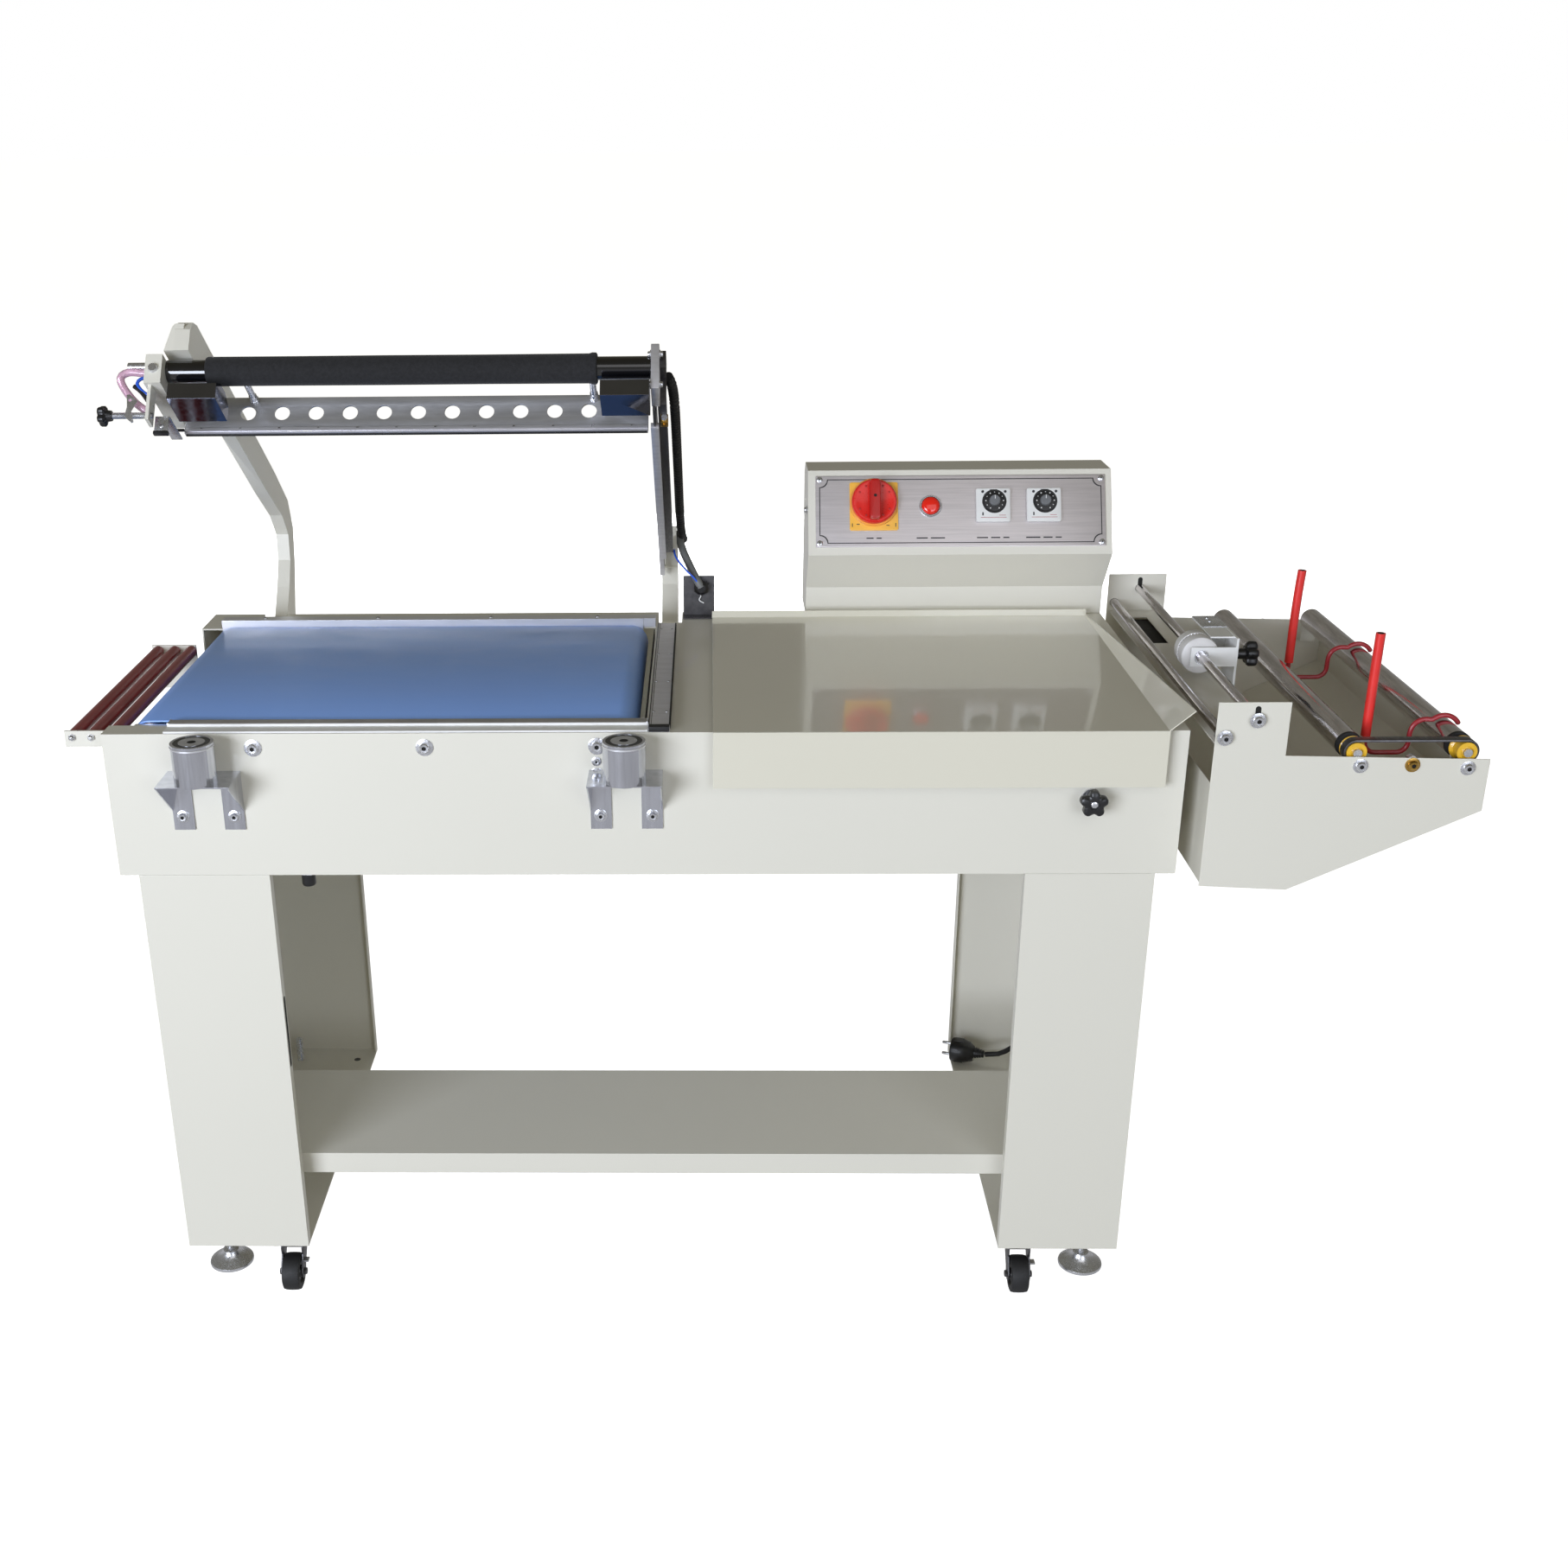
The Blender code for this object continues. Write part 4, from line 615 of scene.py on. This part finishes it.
    left = Piece("head_left_fittings", PINK, BLUE_WIRE, BLACK, ZINC, HOLE_SHADE)
    left.tube(smooth_path([(50, -46, 840), (39, -45, 841.5), (25.2, -45, 842.5), (16.5, -45, 838), (16, -45, 830),
                           (23.4, -45, 817), (35, -44, 803.1), (46, -42, 794.5), (53, -38, 790.5)], 4), 4.7, steps=16)
    left.tube(smooth_path([(52, -50, 833), (42, -51, 830), (38, -51, 824), (43, -50, 816), (51, -48, 810)], 3), 2.1,
              1)
    left.tube(smooth_path([(34, -49, 821.5), (42, -49, 815), (50, -48, 805), (56, -46, 795)], 3), 2.8, 2)
    left.flat([(29, 806), (33, 806), (42.5, 797.5), (36, 784), (40, 770), (37.5, 769), (28.5, 777), (30.5, 790)],
              "XZ", (-57.5, -56), 3, holes=[circle((33.5, 798.5), 2, 16)])
    left.box((56.2, 73), (-31.2, -29), (771.5, 791.5), 3)
    left.box((55.6, 73.8), (-33.5, -27), (767.2, 771.6), 2, 1)
    left.box((60, 73.5), (-30, 24), (790, 791.8), 3)
    left.screw((64.5, -31.2, 779), "-Y", 2.8, 1.2, 3, 4)
    left.box((56, 76), (18, 22), (799.5, 802), 2)
    left.lathe([(0, 3.5), (5, 3.5), (6, 0), (0, 0)], (60, -65, 836), "-Y", 20, 3)
    left.done("sealing_head", base=HEAD)

    knob = Piece("tension_knob_star", BLACK, ZINC)
    knob.lathe([(0, -4.5), (8.5, -4.5), (11.2, -3.5), (12.5, -1.5), (12.5, 3),
                (10.5, 4.8), (7, 5.8), (6.2, 11.2), (0, 11.6)][::-1], (0, -50, 782), "X", 60, lobes=(5, 3.5, 8.4))
    threads = [(0, 60)]
    for i in range(40):
        threads += [(3.4, 59.8 - 1.2 * i), (3.9, 59.2 - 1.2 * i)]
    knob.lathe(threads + [(3.4, 11), (0, 11)], (0, -50, 782), "X", 16, 1)
    knob.done("tension_knob", base=HEAD, replaces=["tension_knob"], slot="black_plastic")


make_head()


def make_conduit():
    """The grey conduit and two wires that follow the head from the cabinet's gland."""
    gland = Piece("conduit_gland", BLACK)
    gland.lathe([(0, -13), (6.2, -13), (8.8, -10), (10.4, -8.5), (11.6, -7.5), (11.6, 0), (0, 0)][::-1], (706, 508,
            834), "Y", 36, hexagon=(1, 2))
    gland.lathe([(0, 0), (11, 0), (11, 5.5), (0, 5.5)][::-1], (706, 511, 834), "Y", 36, hexagon=(1, 2))
    gland.lathe([(0, 0), (6, 0), (6, 14), (0, 14)][::-1], (706, 511, 834), "Y", 24)
    gland.tube(smooth_path([(706, 521, 834), (706, 526, 826), (706, 527, 806), (706, 522, 791.5)], 4), 5.2)
    gland.done()
    head_end, gland_end = Vector((673.5, 560, 902)), Vector((705.5, 498.5, 835.5))
    conduit = Piece("head_conduit", CONDUIT)
    conduit.tube(smooth_path([head_end, (675.5, 553, 890), (681, 540, 875.5), (689, 523, 862),
                              (696.5, 508, 850), (702, 499.5, 842), gland_end], 3), 5.6, steps=16)
    conduit = conduit.done(ride=False, angle=80)
    wires = Piece("head_wires", ROD_RED, BLUE_WIRE)
    wires.tube(smooth_path([(666, 540, 880), (672, 520, 870), (685, 506, 858), (696, 500, 848), (703, 497, 837)], 3),
               1.4, 0, 8)
    wires.tube(smooth_path([(666.5, 542, 884), (670, 520, 874), (683, 502, 861), (695, 497, 850), (704, 496, 839)],
                           3), 1.4, 1, 8)
    wires = wires.done(ride=False, angle=80)
    for piece in (conduit, wires):
        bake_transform(piece)
    tail = Piece("cable_tie_tail", WHITE)
    tail.tube(smooth_path([(701, 506.5, 826), (705.5, 505, 821.5), (703, 505, 815), (709.5, 505, 810.5)], 2), 0.9,
              steps=8)
    tail.done()


make_conduit()


# -------- console
def scalloped(x, y, inset, notch, count=7):
    """A rectangle whose corners are cut by quarter circles centred on the corner screws."""
    out = []
    for cx, cy, start in ((x[1], y[1], 270), (x[0], y[1], 360), (x[0], y[0], 90), (x[1], y[0], 180)):
        sx, sy = (1 if cx == x[0] else -1), (1 if cy == y[0] else -1)
        out += arc((cx + sx * inset, cy + sy * inset), notch, start, start - 90, count)
    return out


def make_console():
    x, y = (865.5, 1266), (11, 112)
    panel = Piece("console_panel", BRUSHED, INK, ZINC, HOLE_SHADE)
    panel.flat(rounded(x, y, 1.5, 3), "XY", (0.3, 1.8), bevel=0.2)
    inset, notch, line = 5, 11, 1.25
    inner = scalloped((x[0] + line, x[1] - line), (y[0] + line, y[1] - line), inset, notch)
    panel.flat(scalloped(x, y, inset, notch), "XY", (1.6, 2), 1, holes=[inner[::-1]], bevel=0)
    for cx in (x[0] + 5.5, x[1] - 5.5):
        for cy in (y[0] + 5.5, y[1] - 5.5):
            panel.screw((cx, cy, 1.8), "Z", 4, 1.8, 2, 3)
    letter, gap = 1.4, 3
    for cx, widths in ((946, (7, 0, 5)), (1024.5, (11, 0, 14)), (1110.5, (11, 0, 9, 0, 6)), (1180.5, (14, 0, 9, 0,
            6))):
        left = cx - sum(w or gap for w in widths) * letter / 2
        for w in widths:
            if w:
                panel.box((left, left + w * letter), (22.5, 24.3), (1.7, 2), 1, 0.1)
            left += (w or gap) * letter
    panel.done(base=FACE, replaces=["control_panel"], slot="brushed_steel")

    cx, cy, hub = 946, 68, 73
    seat = Piece("switch_seat", YELLOW, ORANGE, INK)
    seat.flat(rounded((cx - 33.5, cx + 33.5), (cy - 34, cy + 34), 2.5), "XY", (1.7, 4))
    seat.lathe([(30, 8.6), (32.5, 8.6), (33.5, 7.8), (33.7, 6.6), (33.7, 3.6), (30, 3.6)], (cx, hub, 0), "Z", 56, 1)
    for angle in (205, 235, 300, 330):
        a = math.radians(angle)
        px, py = cx + 38.5 * math.cos(a), hub + 37 * math.sin(a)
        if abs(px - cx) < 32 and abs(py - cy) < 33:
            seat.box((px - 2.2, px + 2.2), (py - 0.6, py + 0.6), (3.9, 4.15), 2, 0.1)
    for side in (-1, 1):
        seat.box((cx + side * 30 - 0.6, cx + side * 30 + 0.6), (cy - 29, cy - 24), (3.9, 4.15), 2, 0.1)
    seat.done(base=FACE, slot="bright_red_plastic")
    knob = Piece("rotary_switch", SWITCH_RED, BAR_RED, HOLE_SHADE)
    knob.lathe([(0, 15), (19, 15), (23.5, 15.8), (27, 16.6), (29, 16.4),
                (30.6, 15), (31.2, 13), (31.2, 8.6), (0, 8.6)], (cx, hub, 0), "Z", 64)
    knob.flat(rounded((cx - 7.2, cx + 7.2), (hub - 27.8, hub + 27.8), 4.5, 6), "XY", (14, 28.5), 1, bevel=1.6)
    # A near-black dot on the bar stands for a hole: painted shade.
    knob.lathe([(0, 0.2), (2.2, 0.2), (2.2, -2)], (cx, cy + 9, 28.5), "Z", 20, 2)
    for a in range(0, 360, 30):
        if a % 90:
            c, s = math.cos(math.radians(a)), math.sin(math.radians(a))
            knob.lathe([(0, 0.4), (1.6, 0.2), (1.8, -1)], (cx + 23.5 * c, hub + 23.5 * s, 16), "Z", 12, 1)
    knob.done("main_switch", base=FACE, replaces=["main_switch"], slot="bright_red_plastic")

    lamp = Piece("pilot_lamp", ZINC, LENS_RED, BLACK)
    lamp.lathe([(13, 5.2), (14, 5.2), (15, 4.2), (15.5, 3), (15.5, 1.6), (13, 1.6)], (1024.5, cy, 0), "Z", 48)
    lamp.lathe([(12.4, 5.8), (13.2, 5.4), (13.2, 3), (12.4, 3)], (1024.5, cy, 0), "Z", 40, 2)
    lamp.lathe([(0, 9.8), (8.5, 9.4), (11.2, 8), (12.5, 6), (12.5, 3), (0, 3)], (1024.5, cy, 0), "Z", 40, 1)
    lamp.done(base=FACE, slot="bright_red_plastic")

    for name, cx in (("seal_time", 1110.5), ("conveyor_time", 1180.5)):
        timer = Piece(f"{name}_timer", WHITE, BLACK, INK, ROD_RED)
        half = 23.5
        timer.flat(rounded((cx - half, cx + half), (cy - half, cy + half), 2.5), "XY", (1.7, 8), bevel=0.8)
        ox, oy = cx + 1.5, cy + 5
        timer.lathe([(10, 8.4), (16.5, 8.4), (16.8, 8), (16.8, 7.6)], (ox, oy, 0), "Z", 40, 1)
        for side in (-1, 1):
            timer.lathe([(0, 8.5), (1.9, 8.5), (1.9, 7.8)], (cx + side * 15.5 + 1, cy + 18.5, 0), "Z", 16, 2)
        timer.box((cx - 15.5, cx - 13.5), (cy - 15, cy - 10.5), (7.9, 8.2), 2, 0.1)
        timer.box((cx - 5, cx + 6), (cy + 21, cy + 21.7), (7.9, 8.2), 2, 0.1)
        timer.box((cx - 17.5, cx + 18), (cy - 18, cy - 17.4), (7.9, 8.2), 3, 0.1)
        timer.box((cx + 8, cx + 17), (cy - 15, cy - 14.4), (7.9, 8.2), 3, 0.1)
        timer.done(base=FACE, slot="white_plastic")
        dial = Piece(f"{name}_dial_knob", BLACK, GREY_PLASTIC, WHITE)
        dial.lathe([(0, 11.2), (9.2, 11.2), (14.2, 10.4), (15, 9.4), (15, 8.6), (0, 8.6)], (ox, oy, 0), "Z", 48)
        dial.lathe([(0, 16), (6.2, 16), (7.4, 15.2), (8, 10.4), (0, 10.4)], (ox, oy, 0), "Z", 48, 1, lobes=(16, 0.6,
                7))
        for k in range(11):
            a = math.radians(240 - 30 * k)
            c, s = math.cos(a), math.sin(a)
            size = 0.6 if k % 2 else 0.9
            dial.lathe([(0, 0.4), (size, 0.3), (size, -0.4)], (ox + 12 * c, oy + 12 * s, 10.9), "Z", 10, 2)
        dial.box((ox - 0.5, ox + 0.5), (oy + 1.5, oy + 6.6), (15.5, 16.2), 2, 0.1)
        node = f"{name}_dial"
        dial.done(node, base=FACE, replaces=[node], slot="black_plastic")

    side = Piece("console_side_fixing", ZINC, HOLE_SHADE)
    side.bolt((855, 520, 940), "-X", 4, 6.2, 3)
    side.done()


make_console()


def star_knob(name, body, at, axis, node, reach=26, radius=16.8, stem=8.5):
    """A five-lobed black grip on a steel stud."""
    knob = Piece(name, BLACK, ZINC)
    knob.lathe([(0, reach - 1.2), (5.5, reach - 1.2), (6, reach), (radius - 3.5, reach), (radius - 0.8, reach - 1.6),
                (radius, reach - 4), (radius, reach - 11), (radius - 2, reach - 13.8), (stem, reach - 15),
                (stem * 0.94, 2.2), (0, 2.2)], at, axis, 70, lobes=(5, 4.8, radius - 4))
    knob.lathe([(0, reach - 0.6), (3, reach - 0.6), (4, reach - 1.2), (0, reach - 1.2)], at, axis, 20, 1)
    knob.lathe([(0, 3), (10.5, 3), (11.2, 2.2), (11.2, 0.6), (0, 0.6)], at, axis, 28, 1)
    return knob.done(body, replaces=[node], slot="black_plastic")


star_knob("table_star_knob", "table_knob", (1166, -1.5, 708), "-Y", "table_knob")
star_knob("punch_star_knob", "punch_knob", (1385.8, 240, 811), "X", "punch_knob", 31, 16.5, 7)


# -------- film cradle
ROLLER_X, ROLLER_Z = (1460.5, 1586), 771.5
TRAY_FRONT, TRAY_REAR = -32, 560


def make_cradle():
    for name, x in (("film_roller_inner", ROLLER_X[0]), ("film_roller_outer", ROLLER_X[1])):
        roller = Piece(f"{name}_chrome", CHROME, PULLEY, RUBBER, ZINC)
        roller.lathe([(5, 272.5), (13.8, 272.5), (15, 271.3), (15, -266.5), (5, -266.5)],
                     (x, 272.5, ROLLER_Z), "Y", 56)
        roller.lathe([(5, -266.5), (15.3, -266.5), (15.3, -272), (5, -272.5)], (x, 272.5, ROLLER_Z), "Y", 48, 2)
        roller.lathe([(5, 8), (14.5, 8), (14.5, 6.2), (12, 5), (11.2, 4.5), (11.2, -6.2), (11.6, -8.2), (11.6, -9.8),
                      (7, -10), (6.2, -8.8), (4, -8.8)], (x, -15, ROLLER_Z), "Y", 48, 1)
        roller.lathe([(0, 278), (5, 278), (5, -301), (0, -301)], (x, 272.5, ROLLER_Z), "Y", 28, 3)
        roller.done(name, replaces=[name], slot="polished_steel")
    drive = Piece("film_drive_belt", DARK_STEEL)
    drive.flat(stadium(*ROLLER_X, ROLLER_Z, 14.6), "XZ", (-23.5, -10),
               holes=[stadium(*ROLLER_X, ROLLER_Z, 11.8)], bevel=0.6)
    drive.done(angle=40)

    trim = Piece("cradle_fittings", PAINT, HOLE_SHADE, ZINC, BRASS)
    slot = rounded((1312.5, 1344), (389, 523), 2)
    trim.flat([(1298.5, -28.5), (1376.5, -28.5), (1376.5, 558.5), (1298.5, 558.5)], "XY", (780.5, 782),
              holes=[slot[::-1]])
    trim.flat([(1375, -28.5), (1376.5, -28.5), (1376.5, 558.5), (1375, 558.5)], "XY", (769, 780.6))
    # A near-black sheet under the plate's slot: painted shade seen through it.
    trim.box((1308, 1348), (384, 528), (776, 777), 1, 0.3)
    for x, z in ((1305, 793.5), (1340, 814.5)):
        trim.bolt((x, TRAY_FRONT - 3.5, z), "-Y", 6, 9, 4.4, 2, 1)
        trim.bolt((x, TRAY_REAR + 5.5, z), "Y", 6, 9, 4.4, 2, 1)
        trim.lathe([(6.1, 6), (9.5, 6), (9.5, 0), (6.1, 0)], (x, TRAY_FRONT + 2.5, z), "Y", 24, 2)
    # Near-black sheets on the tray's front and rear plates stand for the punch rod's slots: painted shade.
    for y0, y1 in ((TRAY_FRONT - 0.3, TRAY_FRONT + 2.3), (TRAY_REAR - 0.3, TRAY_REAR + 2.3)):
        trim.flat(rounded((1336.8, 1343.2), (814, 830.5), 3.1, 6), "XZ", (y0, y1), 1, bevel=0.1)
    for x, z, metal in ((1464, 758, 2), (1523, 759, 3), (1586.5, 755, 2)):
        trim.bolt((x, TRAY_FRONT, z), "-Y", 5.8, 8.6, 4.2, metal, 1)
        trim.bolt((x, TRAY_REAR + 2, z), "Y", 5.8, 8.6, 4.2, 2, 1)
    trim.lathe([(0, 10), (4.6, 10), (5.8, 8), (5.8, 0), (0, 0)], (1523, -30, 764), "Y", 20, 2, hexagon=(2, 3))
    trim.done(slot="cream_paint")

    for name, y in (("film_stop_front", 50), ("film_stop_rear", 350)):
        stop = Piece(f"{name}_sleeved", ROD_RED, BRIGHT_RED, HOLE_SHADE)
        x, radius, hook = 1496.5, 3, 19.8
        route = ([(x, 790)] + arc((x + 13, 758), 13, 180, 270, 6) + arc((1535, 758), 13, -90, 0, 6) + [(1548.5, 772),
                (1553, 781.5), (1562, 786.2)] + arc((1586, ROLLER_Z), hook, 132, 30, 12))
        stop.tube(smooth_path([(u, y, v) for u, v in route], 4), radius, steps=16)
        end = (1586 + hook * math.cos(math.radians(30)), y, ROLLER_Z + hook * math.sin(math.radians(30)))
        stop.lathe([(0, 1.8), (2, 1.4), (3, 0), (0, 0)], end, (0.5, 0, -0.866), 16)
        lean = 2.6 if "rear" in name else 0.6
        sleeve = [(x + lean * ((v - 766) / 126.5) ** 3, y, v) for v in [766 + 12.6 * i for i in range(11)]]
        stop.tube(sleeve, 5.6, 1, steps=28)
        # A near-black disc in the sleeve's top stands for its hollow end: painted shade.
        stop.lathe([(0, 0.15), (3.6, 0.15), (3.6, -1)], sleeve[-1], "Z", 24, 2)
        stop.done(name, replaces=[name], slot="bright_red_plastic")

    x, y, z = 1340, 240, 814.5
    wheel = Piece("punch_wheel_nylon", NYLON, ZINC)
    wheel.lathe([(6.4, 20.5), (12, 21), (20.5, 20.5), (23.2, 19), (24, 16.5), (24, 3), (22.8, 2.2), (22.8, -2.2),
                 (24, -3), (24, -16.5), (23.2, -19), (20.5, -20.5), (12, -21), (6.4, -20.5)], (x, y, z), "Y", 64)
    for k in range(36):
        a = 2 * math.pi * k / 36
        direction = (math.cos(a), 0, math.sin(a))
        wheel.lathe([(0, 24.6), (0.6, 23.6), (0.7, 22), (0, 22)], (x, y, z), direction, 8, 1)
    wheel.done("punch_wheel", replaces=["punch_wheel"], slot="white_plastic")
    guide = Piece("punch_carriage_fittings", ZINC, HOLE_SHADE)
    guide.lathe([(6.2, 1.2), (9.2, 1.2), (9.2, 0), (6.2, 0)], (x, y - 26.2, z), "-Y", 24)
    guide.lathe([(6.2, 1.2), (9.2, 1.2), (9.2, 0), (6.2, 0)], (x, y + 26.6, z), "Y", 24)
    guide.box((1352, 1385), (y + 28, y + 80.5), (838.2, 839), 0, 0.3)
    for py in (295, 310):
        guide.screw((1369, py, 839), "Z", 3, 1.2, 0, 1)
    guide.done("punch_carriage", slot="brushed_steel")


make_cradle()


# -------- casters and feet
def make_caster(name, x, y, brake):
    wheel_y, wheel_z = y - 22, 25
    fork = Piece(f"{name}_fork_pressed", DARK_STEEL, ZINC)
    fork.lathe([(0, 71.9), (4.8, 71.9), (5, 69.7), (16, 69.7), (17.2, 68.8),
                (17.2, 67.2), (15, 66.4), (15, 65.2), (16.8, 64.4), (16.4, 63.2), (0, 63.2)], (x, y, 0), "Z", 36)
    cheek = [(y + 12.5, 64), (y + 11, 56), (wheel_y + 11.5, 30), (wheel_y + 8, 19),
             (wheel_y, 16), (wheel_y - 8, 19), (wheel_y - 11, 30), (y - 20, 50), (y - 21, 60), (y - 19, 64)]
    for side in (-1, 1):
        a, b = sorted((x + side * 12.6, x + side * 14.8))
        fork.flat(cheek, "YZ", (a, b), bevel=0.5)
        fork.lathe([(0, 3.2), (4.4, 3.2), (5, 2.4), (5, 0), (0, 0)],
                   (x + side * 14.8, wheel_y, wheel_z), "X" if side > 0 else "-X", 24, 0, hexagon=(1, 2, 3))
    fork.flat([(x - 14.8, y - 19.5), (x + 14.8, y - 19.5), (x + 14.8, y + 12), (x - 14.8, y + 12)], "XY", (61, 64),
              bevel=0.6)
    fork.lathe([(0, 13.6), (4, 13.6), (4, -13.6), (0, -13.6)], (x, wheel_y, wheel_z), "X", 20, 1)
    if brake:
        fork.flat([(x - 9, y + 6), (x + 9, y + 6), (x + 8, y + 25), (x - 8, y + 25)], "XY", (48, 50), 1, bevel=0.5)
        fork.flat([(x - 8, y + 23), (x + 8, y + 23), (x + 8, y + 25.2), (x - 8, y + 25.2)], "XY", (44, 50), 1,
                  bevel=0.5)
        fork.box((x + 14.5, x + 21.5), (y - 24, y - 14), (40, 42.5), 1, 0.8)
    fork.done(f"{name}_fork", replaces=[f"{name}_fork"], slot="polished_steel")
    wheel = Piece(f"{name}_wheel_tyre", RUBBER, BLACK)
    wheel.lathe([(16.5, 11.4), (21.5, 11.6), (23.8, 10.6), (24.7, 7), (25, 0),
                 (24.7, -7), (23.8, -10.6), (21.5, -11.6), (16.5, -11.4)], (x, wheel_y, wheel_z), "X", 48)
    wheel.lathe([(4.1, 12), (7.5, 12), (8.5, 9.2), (15, 8.4), (16.6, 11.2),
                 (16.6, -11.2), (15, -8.4), (8.5, -9.2), (7.5, -12), (4.1, -12)], (x, wheel_y, wheel_z), "X", 40, 1)
    wheel.done(f"{name}_wheel", replaces=[f"{name}_wheel"], slot="black_rubber")


def make_foot(name, x, y):
    pad, pitch = 21.5, 1.6

    def thread(top, count):
        return [(r, top - pitch * i - drop) for i in range(count) for r, drop in ((4.3, 0), (5, pitch / 2))]

    foot = Piece(f"{name}_zinc", ZINC, RUBBER)
    foot.lathe([(0, 110)] + thread(109.5, 24) + [(4.3, 70), (0, 70)], (x, y, 0), "Z", 20)
    foot.lathe([(0, 69.7), (8.5, 69.7), (9.2, 69), (9.2, 63.6), (8.5, 62.7), (0, 62.7)],
               (x, y, 0), "Z", 24, hexagon=(1, 2, 3, 4))
    foot.lathe([(0, 62.7)] + thread(62.7, 12) + [(4.3, pad + 21.5), (0, pad + 21.5)], (x, y, 0), "Z", 20)
    foot.lathe([(0, pad + 22.5), (7.5, pad + 22.5), (10.5, pad + 20.5), (11.8, pad + 17), (15, pad + 12.5), (21.5, pad
            + 8.5), (26.2, pad + 6.6), (28.4, pad + 5), (29, pad + 3), (28.7, pad + 1.2), (27, pad + 1), (0, pad
            + 1)], (x, y, 0), "Z", 56)
    foot.lathe([(0, pad + 1), (26.8, pad + 1), (27, pad), (0, pad)], (x, y, 0), "Z", 40, 1)
    foot.done(name, replaces=[name], slot="polished_steel")


for row, caster_y, foot_y in (("front", 30, 35), ("rear", 495, 495)):
    for hand, caster_x, foot_x in (("left", 157, 67), ("right", 1126, 1213)):
        make_caster(f"caster_{row}_{hand}", caster_x, caster_y, row == "front")
        make_foot(f"foot_{row}_{hand}", foot_x, foot_y)


# -------- studio
def soft_light(name, place, target, size, power, colour=(1.0, 1.0, 1.0)):
    data = bpy.data.lights.new(name, "AREA")
    data.shape, data.size, data.size_y, data.energy, data.color = "RECTANGLE", *size, power, colour
    light = bpy.data.objects.new(name, data)
    scene.collection.objects.link(light)
    light.location = place
    light.rotation_euler = (Vector(target) - Vector(place)).to_track_quat("-Z", "Y").to_euler()
    return light


def make_studio():
    """Dim warm surroundings, one broad cool light from the front left, and a white floor and backdrop."""
    world = bpy.data.worlds.new("studio")
    world.use_nodes = True
    tree = world.node_tree
    node, link = tree.nodes.new, tree.links.new
    place, split, seen = node("ShaderNodeTexCoord"), node("ShaderNodeSeparateXYZ"), node("ShaderNodeLightPath")
    height = node("ShaderNodeMapRange")
    height.inputs["From Min"].default_value = -1.0
    link(place.outputs["Generated"], split.inputs["Vector"])
    link(split.outputs["Z"], height.inputs["Value"])

    def gradient(*stops):
        ramp = node("ShaderNodeValToRGB")
        for index, (position, colour) in enumerate(stops):
            stop = ramp.color_ramp.elements[index] if index < 2 else ramp.color_ramp.elements.new(position)
            stop.position, stop.color = position, (*colour, 1.0)
        link(height.outputs["Result"], ramp.inputs["Fac"])
        return ramp.outputs["Color"]

    def choose(test, otherwise, chosen):
        mix = node("ShaderNodeMix")
        mix.data_type = "RGBA"
        link(seen.outputs[test], mix.inputs[0])
        link(otherwise, mix.inputs[6])
        if isinstance(chosen, tuple):
            mix.inputs[7].default_value = chosen
        else:
            link(chosen, mix.inputs[7])
        return mix.outputs[2]

    room = gradient((0.5, (0.165, 0.155, 0.112)), (1.0, (0.115, 0.104, 0.062)))
    mirrored = gradient((0.4, (0.46, 0.46, 0.47)), (0.55, (0.24, 0.235, 0.215)), (1.0, (0.13, 0.118, 0.078)))
    surroundings = choose("Is Glossy Ray", room, mirrored)
    link(choose("Is Camera Ray", surroundings, (1.0, 1.0, 1.0, 1.0)), tree.nodes["Background"].inputs["Color"])
    scene.world = world

    bpy.ops.mesh.primitive_plane_add(size=400.0)
    floor = bpy.context.object
    floor.name = "studio_floor"
    floor.visible_diffuse = floor.visible_glossy = False
    pale = bpy.data.materials.new("studio_floor")
    pale.use_nodes = True
    shader = pale.node_tree.nodes["Principled BSDF"]
    shader.inputs["Base Color"].default_value = (0.8, 0.8, 0.8, 1.0)
    shader.inputs["Roughness"].default_value = 1.0
    shader.inputs["Specular IOR Level"].default_value = 0.0
    shader.inputs["Emission Color"].default_value = (1.0, 1.0, 1.0, 1.0)
    shader.inputs["Emission Strength"].default_value = 0.93
    floor.data.materials.append(pale)
    soft_light("key_softbox", (-2.6, -4.2, 1.35), (0.0, 0.0, 0.6), (2.6, 2.0), 205.0, (0.82, 0.875, 1.0))
    soft_light("fill_softbox", (1.6, -3.6, 1.5), (0.1, 0.0, 0.6), (1.8, 1.4), 30.0, (0.81, 0.875, 1.0))
    soft_light("console_softbox", (0.9, -3.2, 3.1), (0.3, 0.1, 0.9), (3.6, 1.6), 17.0, (0.97, 0.97, 1.0))
    rear = soft_light("rear_softbox", (0.0, 4.6, 0.7), (0.0, 0.0, 0.7), (3.0, 1.2), 125.0, (0.94, 0.97, 1.0))
    rear.visible_glossy = False


make_studio()
